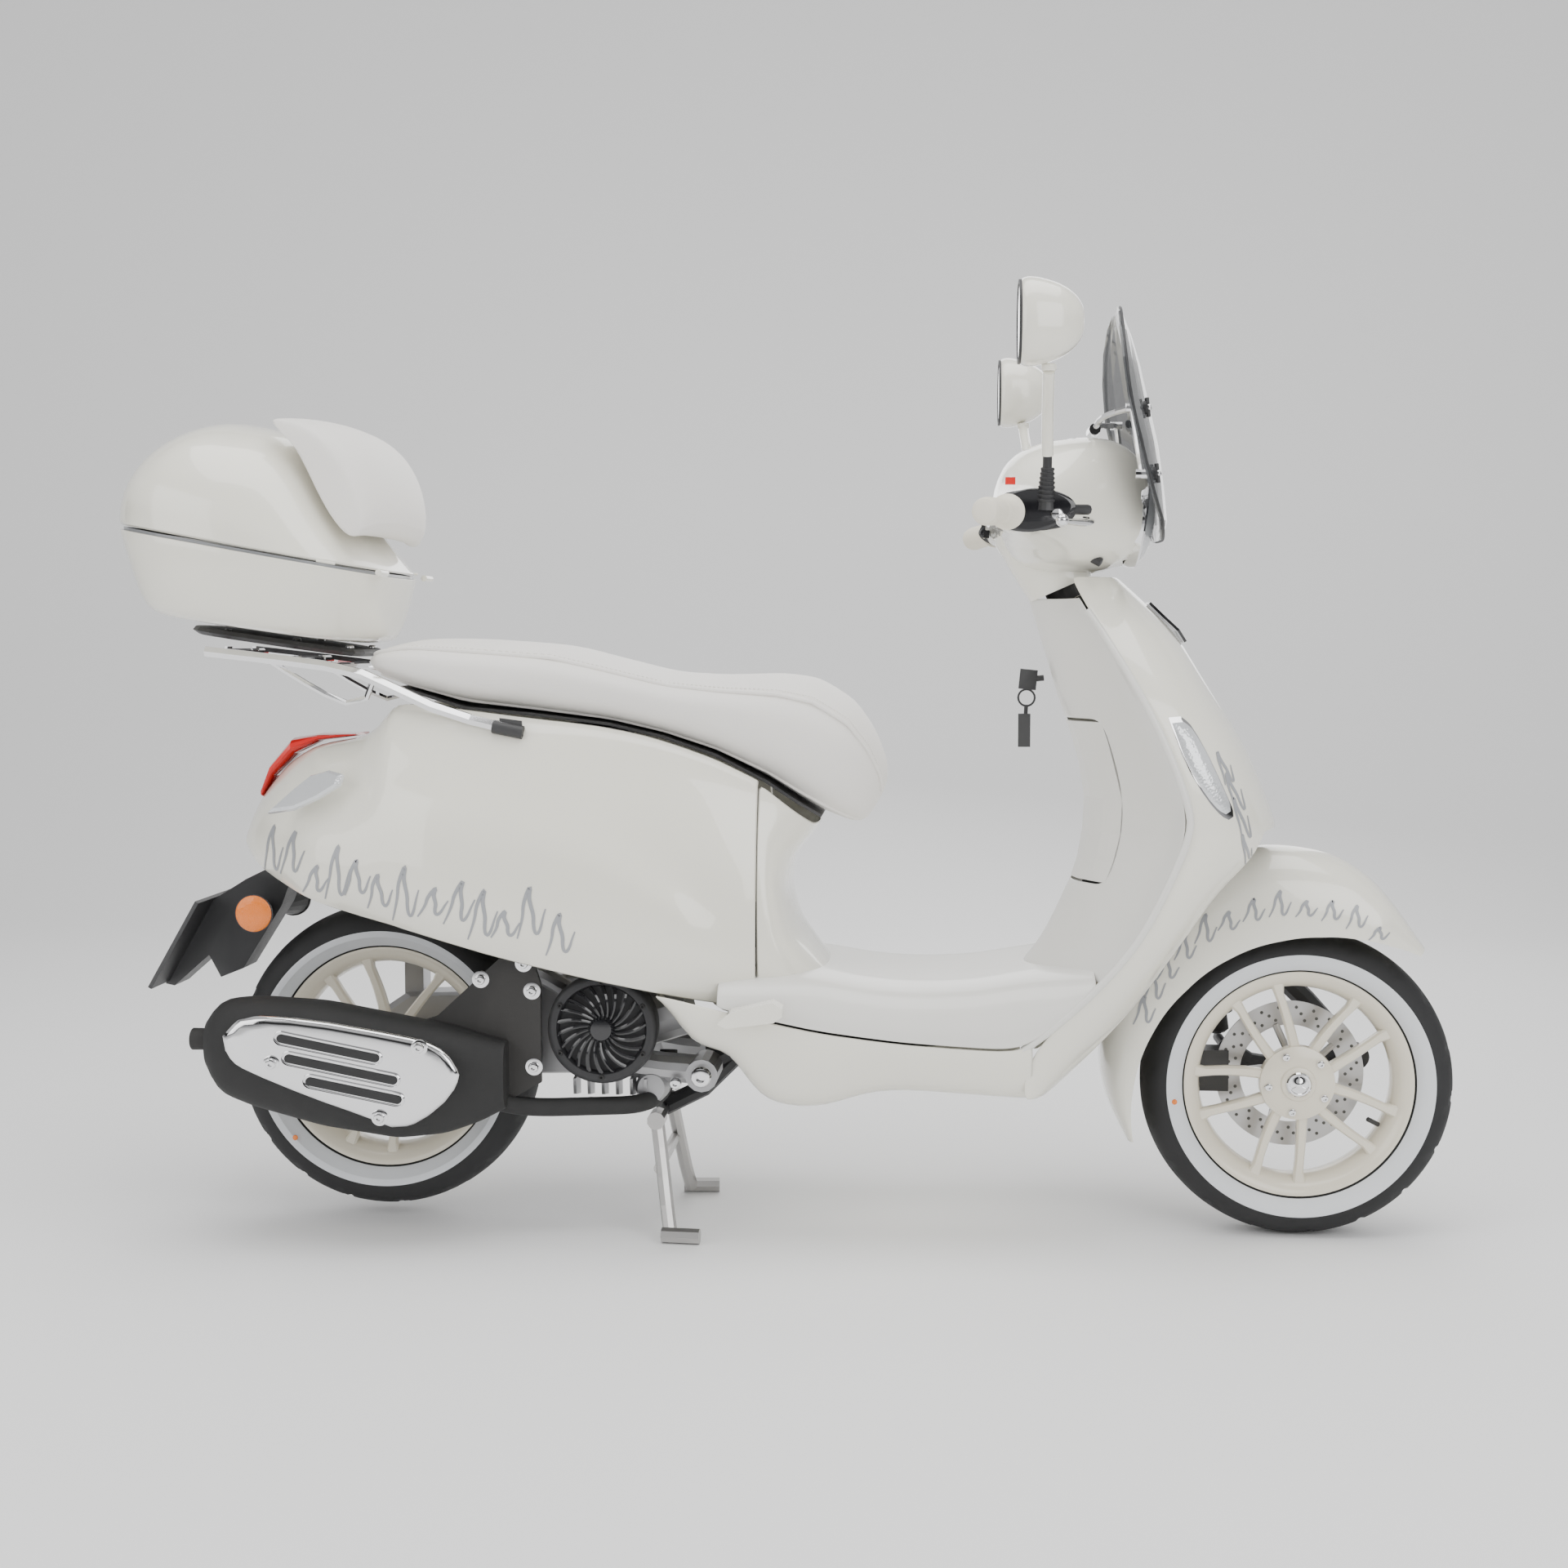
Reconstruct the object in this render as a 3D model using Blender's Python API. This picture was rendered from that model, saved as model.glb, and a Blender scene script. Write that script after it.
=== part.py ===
"""Moped scooter with whitewall wheels, top case and flyscreen.

Built as separate sub-parts in metres, +Z up, forward is +X, left side is +Y.
Side-view dimensions are measured from the rear axle; SHIFT centres the whole
length on the origin.
"""
import math
import bpy
import bmesh
import numpy as np
from mathutils import Vector, Matrix

# ---------------------------------------------------------------- dimensions
SHIFT = -0.6105           # x of the rear axle once the length is centred
WHEELBASE = 1.365
FRONT_AXLE_Z = 0.2275
REAR_AXLE_Z = 0.249       # wheel hangs clear while the centre stand is down
FRONT_TYRE_R = 0.2275
REAR_TYRE_R = 0.2305
FRONT_TYRE_W = 0.110
REAR_TYRE_W = 0.120
BEAD_R = 0.158
RIM_LIP_R = 0.167
SPOKE_PAIRS = 5
GAP = 0.0004              # clearance between touching pieces
STEER = (1.006, 0.0, 0.970)
RAKE = math.radians(23.7)
STEER_UP = Vector((-math.sin(RAKE), 0.0, math.cos(RAKE)))
PIVOT = (0.492, 0.0, 0.246)       # engine swing-arm pivot
LINK = (1.470, 0.0, 0.2475)       # front link pivot
STAND = (0.420, 0.0, 0.170)       # centre stand pivot
SEAT_HINGE = (0.690, 0.0, 0.606)
LID_HINGE = (0.040, 0.0, 0.975)
GLOVE_HINGE = (1.030, 0.0, 0.520)
BAR_Y = 0.235                     # inner end of the grips
GRIP_END = 0.362

# ------------------------------------------------------------------ materials
PAINTS = {
    "ivory_paint": ((0.78, 0.76, 0.68), 0.18, 0.0),
    "white_plastic": ((0.74, 0.73, 0.68), 0.35, 0.0),
    "wheel_cream": ((0.75, 0.70, 0.57), 0.35, 0.0),
    "leatherette": ((0.80, 0.77, 0.72), 0.55, 0.0),
    "cream_rubber": ((0.78, 0.74, 0.62), 0.60, 0.0),
    "black_plastic": ((0.02, 0.02, 0.022), 0.50, 0.0),
    "black_gloss": ((0.01, 0.01, 0.012), 0.18, 0.0),
    "rubber": ((0.015, 0.015, 0.015), 0.80, 0.0),
    "chrome": ((0.80, 0.80, 0.82), 0.08, 1.0),
    "cast_alloy": ((0.42, 0.42, 0.43), 0.45, 1.0),
    "steel": ((0.50, 0.50, 0.52), 0.35, 1.0),
    "exhaust_black": ((0.015, 0.015, 0.015), 0.65, 0.1),
    "red_lens": ((0.62, 0.01, 0.01), 0.12, 0.0),
    "clear_lens": ((0.82, 0.84, 0.86), 0.10, 0.0),
    "smoke_screen": ((0.20, 0.21, 0.23), 0.08, 0.0),
    "red_plastic": ((0.70, 0.02, 0.02), 0.35, 0.0),
    "mirror_white": ((0.78, 0.76, 0.68), 0.20, 0.0),
}


def paint(name):
    mat = bpy.data.materials.get(name)
    if mat is None:
        colour, rough, metal = PAINTS[name]
        mat = bpy.data.materials.new(name)
        mat.use_nodes = True
        shader = mat.node_tree.nodes["Principled BSDF"]
        shader.inputs["Base Color"].default_value = (*colour, 1.0)
        shader.inputs["Roughness"].default_value = rough
        shader.inputs["Metallic"].default_value = metal
        mat.diffuse_color = (*colour, 1.0)
    return mat


for old in list(bpy.data.objects):
    bpy.data.objects.remove(old, do_unlink=True)


# -------------------------------------------------------------------- helpers
def lerp(a, b, t):
    return a + (b - a) * t


def curve_at(points, key):
    """Read a polyline of (key, value...) rows at one key."""
    rows = np.array(points, dtype=float)
    return [float(np.interp(key, rows[:, 0], rows[:, k])) for k in range(1, rows.shape[1])]


def resample(points, count):
    """Even arc-length samples along a polyline."""
    pts = np.array(points, dtype=float)
    step = np.linalg.norm(np.diff(pts, axis=0), axis=1)
    dist = np.concatenate([[0.0], np.cumsum(step)])
    want = np.linspace(0.0, dist[-1], count)
    return [tuple(float(np.interp(w, dist, pts[:, k])) for k in range(pts.shape[1])) for w in want]


def smooth(points, count, rounds=2):
    """Corner-cut a polyline, then resample it evenly."""
    pts = [tuple(p) for p in points]
    for _ in range(rounds):
        cut = [pts[0]]
        for a, b in zip(pts[:-1], pts[1:]):
            cut.append(tuple(lerp(u, v, 0.25) for u, v in zip(a, b)))
            cut.append(tuple(lerp(u, v, 0.75) for u, v in zip(a, b)))
        cut.append(pts[-1])
        pts = cut
    return resample(pts, count)


def put(name, bm, mat, origin=(0.0, 0.0, 0.0), auto=35.0):
    """Finish a bmesh as a named object whose origin sits on its joint axis."""
    bmesh.ops.recalc_face_normals(bm, faces=bm.faces)
    base = Vector((origin[0] + SHIFT, origin[1], origin[2]))
    if origin == (0.0, 0.0, 0.0):
        base = Vector((0.0, 0.0, 0.0))
    for vert in bm.verts:
        vert.co = Vector((vert.co.x + SHIFT, vert.co.y, vert.co.z)) - base
    mesh = bpy.data.meshes.new(name)
    bm.to_mesh(mesh)
    bm.free()
    obj = bpy.data.objects.new(name, mesh)
    obj.location = base
    bpy.context.scene.collection.objects.link(obj)
    mesh.materials.append(paint(mat))
    shade(obj, auto)
    return obj


def shade(obj, angle=35.0):
    mesh = obj.data
    limit = math.radians(angle)
    work = bmesh.new()
    work.from_mesh(mesh)
    for face in work.faces:
        face.smooth = True
    for edge in work.edges:
        if len(edge.link_faces) == 2:
            edge.smooth = edge.calc_face_angle(0.0) < limit
    work.to_mesh(mesh)
    work.free()


def ring_faces(bm, rings, closed=True):
    """Skin a list of vertex rings with quads."""
    count = len(rings[0])
    last = count if closed else count - 1
    for low, high in zip(rings[:-1], rings[1:]):
        for k in range(last):
            nxt = (k + 1) % count
            bm.faces.new((low[k], low[nxt], high[nxt], high[k]))


def loft(bm, sections):
    """Closed solid through equal-count point loops, flat caps at both ends."""
    rings = [[bm.verts.new(p) for p in loop] for loop in sections]
    ring_faces(bm, rings)
    bm.faces.new(list(reversed(rings[0])))
    bm.faces.new(rings[-1])


def shell(bm, grid, thick, skip=None):
    """Thin closed plate from an open grid of points, thickened inward.

    grid[row][col]; skip(row, col) leaves a cell open. The plate grows to the
    side away from the grid's own normals.
    """
    rows = len(grid)
    cols = len(grid[0])
    surf = bmesh.new()
    vert = [[surf.verts.new(p) for p in row] for row in grid]
    for i in range(rows - 1):
        for j in range(cols - 1):
            if skip is None or not skip(i, j):
                surf.faces.new((vert[i][j], vert[i][j + 1], vert[i + 1][j + 1], vert[i + 1][j]))
    loose = [v for v in surf.verts if not v.link_faces]
    bmesh.ops.delete(surf, geom=loose, context="VERTS")
    surf.normal_update()
    outer = {}
    inner = {}
    for v in surf.verts:
        outer[v] = bm.verts.new(v.co)
        inner[v] = bm.verts.new(v.co - v.normal * thick)
    for f in surf.faces:
        bm.faces.new([outer[v] for v in f.verts])
        bm.faces.new([inner[v] for v in reversed(f.verts)])
    for e in surf.edges:
        if len(e.link_faces) == 1:
            face = e.link_faces[0]
            loop = [lp for lp in face.loops if lp.edge == e][0]
            a = loop.vert
            b = loop.link_loop_next.vert
            bm.faces.new((outer[b], outer[a], inner[a], inner[b]))
    surf.free()


def oval(cx, cy, rx, ry, count=16, power=2.0, spin=0.0):
    """Superellipse loop in two dimensions."""
    loop = []
    for k in range(count):
        t = 2.0 * math.pi * (k + 0.5) / count
        c = math.cos(t)
        s = math.sin(t)
        u = rx * math.copysign(abs(c) ** (2.0 / power), c)
        v = ry * math.copysign(abs(s) ** (2.0 / power), s)
        loop.append((cx + u * math.cos(spin) - v * math.sin(spin),
                     cy + u * math.sin(spin) + v * math.cos(spin)))
    return loop


def sweep(bm, path, radius, segs=10, flat=1.0, hint=(0.0, 1.0, 0.0)):
    """Round or flattened bar along a 3D path; radius may be a list."""
    pts = [Vector(p) for p in path]
    radii = radius if isinstance(radius, (list, tuple)) else [radius] * len(pts)
    side = None
    loops = []
    for k, point in enumerate(pts):
        ahead = pts[min(k + 1, len(pts) - 1)] - pts[max(k - 1, 0)]
        ahead.normalize()
        if side is None:
            base = Vector(hint)
            if abs(base.dot(ahead)) > 0.95:
                base = Vector((0.0, 0.0, 1.0))
            side = (base - ahead * base.dot(ahead)).normalized()
        else:
            side = (side - ahead * side.dot(ahead)).normalized()
        up = ahead.cross(side)
        loop = []
        for s in range(segs):
            t = 2.0 * math.pi * s / segs
            loop.append(point + side * (radii[k] * math.cos(t))
                        + up * (radii[k] * flat * math.sin(t)))
        loops.append(loop)
    loft(bm, loops)


def frame_of(axis):
    a = Vector(axis).normalized()
    ref = Vector((0.0, 0.0, 1.0)) if abs(a.z) < 0.9 else Vector((1.0, 0.0, 0.0))
    u = (ref - a * ref.dot(a)).normalized()
    return a, u, a.cross(u)


def revolve(bm, profile, centre, axis, segs=32):
    """Turn a closed (radius, along) profile round an axis."""
    a, u, w = frame_of(axis)
    c = Vector(centre)
    rings = []
    for k in range(segs):
        t = 2.0 * math.pi * k / segs
        d = u * math.cos(t) + w * math.sin(t)
        rings.append([bm.verts.new(c + d * r + a * h) for r, h in profile])
    count = len(profile)
    for k in range(segs):
        low = rings[k]
        high = rings[(k + 1) % segs]
        for j in range(count):
            n = (j + 1) % count
            bm.faces.new((low[j], low[n], high[n], high[j]))


def rod(bm, start, end, r0, r1=None, segs=16):
    """Straight round bar between two points."""
    r1 = r0 if r1 is None else r1
    a, u, w = frame_of(Vector(end) - Vector(start))
    loops = []
    for point, r in ((start, r0), (end, r1)):
        loops.append([Vector(point) + u * (r * math.cos(2 * math.pi * k / segs))
                      + w * (r * math.sin(2 * math.pi * k / segs)) for k in range(segs)])
    loft(bm, loops)


def lathe(bm, start, axis, steps, segs=16):
    """Solid turned part: steps are (along, radius) from one end to the other."""
    a, u, w = frame_of(axis)
    loops = []
    for along, r in steps:
        loops.append([Vector(start) + a * along + u * (r * math.cos(2 * math.pi * k / segs))
                      + w * (r * math.sin(2 * math.pi * k / segs)) for k in range(segs)])
    loft(bm, loops)


def brick(bm, centre, size, spin_y=0.0, spin_z=0.0, spin_x=0.0):
    """Rectangular block, turned about its own centre."""
    turn = (Matrix.Rotation(spin_z, 4, "Z") @ Matrix.Rotation(spin_y, 4, "Y")
            @ Matrix.Rotation(spin_x, 4, "X"))
    place = Matrix.Translation(centre) @ turn @ Matrix.Diagonal((*size, 1.0))
    bmesh.ops.create_cube(bm, size=1.0, matrix=place)


def prism(bm, outline, y0, y1):
    """Side-view outline (x, z) extruded across the width."""
    loft(bm, [[(x, y0, z) for x, z in outline], [(x, y1, z) for x, z in outline]])


def solid(builder):
    """Temporary object from a builder function, used as a Boolean operand."""
    bm = bmesh.new()
    builder(bm)
    bmesh.ops.recalc_face_normals(bm, faces=bm.faces)
    for vert in bm.verts:
        vert.co.x += SHIFT
    mesh = bpy.data.meshes.new("operand")
    bm.to_mesh(mesh)
    bm.free()
    obj = bpy.data.objects.new("operand", mesh)
    bpy.context.scene.collection.objects.link(obj)
    return obj


def combine(obj, builder, operation="UNION", self_cut=False):
    """Exact Boolean of a finished object with one temporary solid."""
    return apply_boolean(obj, solid(builder), operation, self_cut)


def apply_boolean(obj, other, operation, self_cut):
    mod = obj.modifiers.new("join", "BOOLEAN")
    mod.operation = operation
    mod.solver = "EXACT"
    mod.use_self = self_cut
    mod.object = other
    bpy.context.view_layer.update()
    deps = bpy.context.evaluated_depsgraph_get()
    fresh = bpy.data.meshes.new_from_object(obj.evaluated_get(deps))
    obj.modifiers.clear()
    stale = obj.data
    keep = list(stale.materials)
    obj.data = fresh
    fresh.materials.clear()
    for mat in keep[:1]:
        fresh.materials.append(mat)
    for poly in fresh.polygons:
        poly.material_index = 0
    fresh.name = obj.name
    bpy.data.meshes.remove(stale)
    spare = other.data
    bpy.data.objects.remove(other, do_unlink=True)
    bpy.data.meshes.remove(spare)
    weld(obj)
    shade(obj)
    return obj


def weld(obj):
    work = bmesh.new()
    work.from_mesh(obj.data)
    bmesh.ops.remove_doubles(work, verts=work.verts, dist=0.00002)
    bmesh.ops.dissolve_degenerate(work, edges=work.edges, dist=0.00002)
    work.to_mesh(obj.data)
    work.free()


def make(name, builder, mat, origin=(0.0, 0.0, 0.0), auto=35.0):
    bm = bmesh.new()
    builder(bm)
    return put(name, bm, mat, origin, auto)


def mirror(loop):
    return [(x, -y, z) for x, y, z in loop]


SIDES = (("right", -1.0), ("left", 1.0))


# --------------------------------------------------------------- hidden frame
def on_axis(t, y=0.0, ahead=0.0):
    """Point at distance t up the steering axis, moved ahead square to it."""
    p = Vector(STEER) + STEER_UP * t
    return (p.x + ahead * math.cos(RAKE), y, p.z + ahead * math.sin(RAKE))


def build_frame(bm):
    rod(bm, on_axis(-0.037), on_axis(-0.426), 0.026, segs=14)


def head_bore(bm):
    rod(bm, on_axis(0.0), on_axis(-0.460), 0.0145, segs=12)


def frame_down(bm):
    sweep(bm, smooth([(1.095, 0, 0.780), (1.098, 0, 0.640), (1.070, 0, 0.500), (1.045, 0, 0.420),
                      (0.985, 0, 0.340), (0.900, 0, 0.295), (0.700, 0, 0.285), (0.600, 0, 0.310)],
                     10), 0.024, 8)


def frame_rails(bm, side):
    sweep(bm, [(0.630, side * 0.010, 0.295), (0.570, side * 0.085, 0.345),
               (0.548, side * 0.104, 0.450), (0.500, side * 0.110, 0.570),
               (0.430, side * 0.116, 0.620), (0.250, side * 0.120, 0.650),
               (0.080, side * 0.118, 0.665), (-0.060, side * 0.085, 0.662)], 0.012, 8)


def frame_cross(bm, x, z, half):
    rod(bm, (x, -half, z), (x, half, z), 0.010, segs=8)


def frame_feet(bm):
    sweep(bm, smooth([(0.660, 0, 0.290), (0.560, 0, 0.280), (0.492, 0, 0.246)], 4), 0.020, 8)


def frame_stand_lug(bm):
    sweep(bm, [(0.560, 0, 0.280), (0.480, 0, 0.200), (0.420, 0, 0.170)], 0.014, 8)


frame = make("frame", build_frame, "black_plastic")
combine(frame, frame_down)
for word, side in SIDES:
    combine(frame, lambda b, s=side: frame_rails(b, s))
combine(frame, lambda b: frame_cross(b, 0.480, 0.588, 0.110))
combine(frame, lambda b: frame_cross(b, 0.000, 0.664, 0.100))
combine(frame, frame_feet)
combine(frame, lambda b: frame_cross(b, 0.492, 0.246, 0.052))
combine(frame, frame_stand_lug)
combine(frame, lambda b: frame_cross(b, 0.420, 0.170, 0.060))
combine(frame, head_bore, "DIFFERENCE")


# ----------------------------------------------------------------- front shield
SPINE = [(0.994, 1.069), (0.931, 1.138), (0.893, 1.177), (0.809, 1.227), (0.740, 1.274),
         (0.663, 1.309), (0.612, 1.326)]
SEAM = [(0.306, 0.955), (0.335, 0.994), (0.393, 1.056), (0.451, 1.105), (0.502, 1.134),
        (0.563, 1.162), (0.614, 1.181), (0.646, 1.180), (0.721, 1.153), (0.799, 1.116),
        (0.874, 1.073), (0.920, 1.045), (0.970, 1.022)]
LOWER = [(0.215, 0.975), (0.313, 1.075), (0.373, 1.124), (0.433, 1.164), (0.490, 1.204),
         (0.531, 1.229), (0.590, 1.294)]
HALF_AT = [(0.225, 0.195), (0.300, 0.205), (0.400, 0.214), (0.520, 0.220), (0.700, 0.222),
           (0.820, 0.200), (0.900, 0.150), (0.950, 0.095), (0.994, 0.062)]


def apron_row(z):
    seam_x = curve_at(SEAM, z)[0]
    half = curve_at(HALF_AT, z)[0]
    row = []
    for k in range(-6, 7):
        u = abs(k) / 6.0
        ang = u * math.pi / 2.0
        nose = curve_at(list(reversed(SPINE)), max(z, 0.612))[0]
        if z < 0.612:
            edge = curve_at(LOWER, z)[0]
            nose = seam_x + (edge - seam_x) / 0.745
        depth = nose - seam_x
        x = seam_x + depth * math.cos(ang) ** 0.85 if u < 1.0 else seam_x
        y = math.copysign(half * math.sin(ang) ** 0.9, k) if k else 0.0
        row.append((x, y, z))
    return row


APRON_Z = [0.966, 0.940, 0.900, 0.850, 0.790, 0.720, 0.655, 0.612, 0.550, 0.480, 0.410,
           0.350, 0.290, 0.230]


def build_apron(bm):
    grid = [apron_row(z) for z in APRON_Z]
    shell(bm, [list(reversed(row)) for row in grid], 0.003,
          lambda i, j: i >= 7 and 3 <= j <= 8)


make("apron", build_apron, "ivory_paint")


def build_horn_cover(bm):
    grid = []
    for z, half in ((0.935, 0.030), (0.915, 0.044), (0.895, 0.046), (0.878, 0.034)):
        row = apron_row(z)
        ys = [p[1] for p in row]
        xs = [p[0] for p in row]
        grid.append([(float(np.interp(y, ys, xs)) + 0.0100, y, z)
                     for y in np.linspace(-half, half, 5)])
    shell(bm, [list(reversed(row)) for row in grid], 0.004)


make("horn_cover", build_horn_cover, "black_gloss")

KNEE = [(0.405, 0.960), (0.430, 0.985), (0.471, 1.005), (0.521, 1.028), (0.576, 1.045),
        (0.642, 1.050), (0.673, 1.048), (0.739, 1.030), (0.793, 1.010), (0.870, 0.987),
        (0.941, 0.963)]
KNEE_Z = [0.938, 0.900, 0.850, 0.790, 0.740, 0.690, 0.640, 0.590, 0.540, 0.490, 0.450,
          0.412]


def knee_row(z, out=0.0):
    rear = curve_at(KNEE, z)[0]
    rim = curve_at(SEAM, z)[0] - 0.0060
    half = curve_at(HALF_AT, z)[0] - 0.0060
    row = []
    for k in range(-6, 7):
        u = abs(k) / 6.0
        bulge = 0.5 + 0.5 * math.cos(math.pi * min(1.0, u * 1.02))
        y = math.copysign(half * u, k) if k else 0.0
        row.append((rim + (rear - rim) * bulge ** 0.85 - out * 0.9, y, z))
    return row


def build_knee(bm):
    shell(bm, [knee_row(z) for z in KNEE_Z], 0.003)


knee = make("knee_panel", build_knee, "white_plastic")


def glove_cut(bm):
    brick(bm, (1.040, -0.034, 0.646), (0.160, 0.128, 0.236))


def lock_barrel(bm):
    rod(bm, (1.040, 0.040, 0.828), (0.992, 0.040, 0.823), 0.014, segs=16)


combine(knee, glove_cut, "DIFFERENCE")
combine(knee, lock_barrel)


def build_glovebox(bm):
    rows = []
    for z in (0.7615, 0.735, 0.700, 0.650, 0.600, 0.560, 0.5305):
        full = knee_row(z, 0.0)
        ys = [p[1] for p in full]
        xs = [p[0] for p in full]
        rows.append([(float(np.interp(y, ys, xs)), y, z)
                     for y in np.linspace(-0.0965, 0.0285, 9)])
    shell(bm, rows, 0.004)


make("glovebox_door", build_glovebox, "white_plastic", GLOVE_HINGE)

# ------------------------------------------------------------------ floor, belly
FLOOR_MID = [(0.576, 0.418), (0.628, 0.416), (0.665, 0.402), (0.726, 0.387), (0.800, 0.382),
             (0.886, 0.386), (0.950, 0.398), (1.055, 0.407)]
FLOOR_EDGE = [(0.443, 0.378), (0.548, 0.354), (0.664, 0.330), (0.779, 0.316), (0.893, 0.309),
              (0.950, 0.307), (0.980, 0.327), (1.050, 0.391)]
BELLY_LOW = [(0.445, 0.365), (0.484, 0.299), (0.540, 0.284), (0.583, 0.222), (0.618, 0.206),
             (0.675, 0.210), (0.733, 0.232), (0.779, 0.238), (0.940, 0.228), (0.956, 0.230)]
FLOOR_HALF = [(0.440, 0.196), (0.600, 0.204), (0.800, 0.208), (0.960, 0.205)]


def build_floor(bm):
    grid = []
    for x in (0.576, 0.625, 0.675, 0.730, 0.800, 0.880, 0.950, 0.990, 1.045):
        mid = curve_at(FLOOR_MID, x)[0]
        edge = curve_at(FLOOR_EDGE, x)[0]
        half = curve_at(FLOOR_HALF, x)[0]
        row = []
        for y, f in ((-1, 0), (-0.985, 0.28), (-0.93, 0.62), (-0.82, 0.86), (-0.65, 0.97),
                     (-0.35, 1.0), (0, 1.0), (0.35, 1.0), (0.65, 0.97), (0.82, 0.86),
                     (0.93, 0.62), (0.985, 0.28), (1, 0)):
            row.append((float(x), y * half, edge + (mid - edge) * f))
        grid.append(row)
    shell(bm, [list(reversed(r)) for r in grid][::-1], 0.003,
          lambda i, j: i < 2 and 4 <= j <= 7)


make("floorboard", build_floor, "white_plastic")


def build_belly(bm):
    grid = []
    for x in np.linspace(0.450, 0.952, 11):
        top = curve_at(FLOOR_EDGE, x)[0] - 0.0022
        low = curve_at(BELLY_LOW, x)[0]
        half = curve_at(FLOOR_HALF, x)[0]
        row = []
        for y, f in ((-1, 0), (-0.995, 0.25), (-0.95, 0.60), (-0.84, 0.88), (-0.66, 1.0),
                     (-0.33, 1.0), (0, 1.0), (0.33, 1.0), (0.66, 1.0), (0.84, 0.88),
                     (0.95, 0.60), (0.995, 0.25), (1, 0)):
            row.append((float(x), y * half, top + (low - top) * f))
        grid.append(row)
    shell(bm, grid[::-1], 0.003, lambda i, j: i > 6 and 4 <= j <= 7)


make("belly_fairing", build_belly, "ivory_paint")

# -------------------------------------------------------------------- rear body
TOP_LINE = [(-0.205, 0.600), (-0.180, 0.650), (-0.133, 0.700), (-0.088, 0.722), (-0.021, 0.731),
            (0.027, 0.757), (0.050, 0.775), (0.130, 0.768), (0.228, 0.758), (0.357, 0.746),
            (0.434, 0.728), (0.511, 0.701), (0.587, 0.663), (0.640, 0.630)]
SIDE_LOW = [(-0.205, 0.572), (-0.183, 0.546), (-0.077, 0.503), (0.050, 0.474), (0.198, 0.432),
            (0.325, 0.402), (0.421, 0.380), (0.548, 0.357), (0.640, 0.338)]
BODY_HALF = [(-0.205, 0.040), (-0.180, 0.075), (-0.140, 0.110), (-0.080, 0.145), (0.000, 0.176),
             (0.100, 0.198), (0.220, 0.205), (0.340, 0.202), (0.440, 0.192), (0.520, 0.178),
             (0.640, 0.150)]
TOP_HALF = [(-0.205, 0.012), (-0.088, 0.058), (0.020, 0.100), (0.120, 0.128), (0.300, 0.136),
            (0.450, 0.132), (0.560, 0.120), (0.640, 0.105)]
FRONT_HALF = [(0.338, 0.060), (0.420, 0.062), (0.520, 0.058), (0.640, 0.060)]


def side_row(x, side):
    top = curve_at(TOP_LINE, x)[0]
    low = curve_at(SIDE_LOW, x)[0]
    half = curve_at(BODY_HALF, x)[0]
    rim = curve_at(TOP_HALF, x)[0]
    row = []
    inward = 0.002 if x < 0.030 else rim - 0.010
    row.append((x, side * inward, top + (0.0 if x < 0.030 else -0.004)))
    row.append((x, side * lerp(inward, rim, 0.6), top + (0.0 if x < 0.030 else -0.001)))
    for k in range(0, 9):
        a = k / 8.0
        swell = math.sin(a * math.pi * 0.62) / math.sin(math.pi * 0.5)
        y = rim + (half - rim) * min(1.0, swell) ** 0.8
        if a > 0.8:
            y = half - (a - 0.8) * 0.03
        row.append((x, side * y, lerp(top - 0.004, low, a ** 1.1)))
    return row


BODY_X = [-0.203, -0.180, -0.145, -0.100, -0.060, -0.020, 0.025, 0.045, 0.100, 0.180, 0.270,
          0.360, 0.440, 0.510, 0.570]


def build_side(bm, side):
    grid = [side_row(x, side) for x in BODY_X]
    if side < 0:
        grid = grid[::-1]
    shell(bm, grid, 0.003)


for word, side in SIDES:
    make("side_panel_" + word, lambda b, s=side: build_side(b, s), "ivory_paint")

TUNNEL = [(0.345, 0.700), (0.412, 0.664), (0.455, 0.630), (0.510, 0.614), (0.560, 0.623),
          (0.600, 0.655)]


def build_tunnel(bm):
    grid = []
    for z in (0.604, 0.570, 0.540, 0.510, 0.480, 0.452, 0.428):
        nose = curve_at(TUNNEL, z)[0]
        row = []
        for k in range(-6, 7):
            u = abs(k) / 6.0
            half = 0.128 + 0.028 * min(1.0, (0.604 - z) / 0.12)
            y = math.copysign(half * math.sin(u * math.pi / 2) ** 0.8, k) if k else 0.0
            x = 0.5735 + (nose - 0.5735) * math.cos(u * math.pi / 2) ** 0.6 if u < 1 else 0.5735
            row.append((x, y, z))
        grid.append(row)
    shell(bm, [list(reversed(r)) for r in grid], 0.003)


make("body_front_cover", build_tunnel, "ivory_paint")


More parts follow.
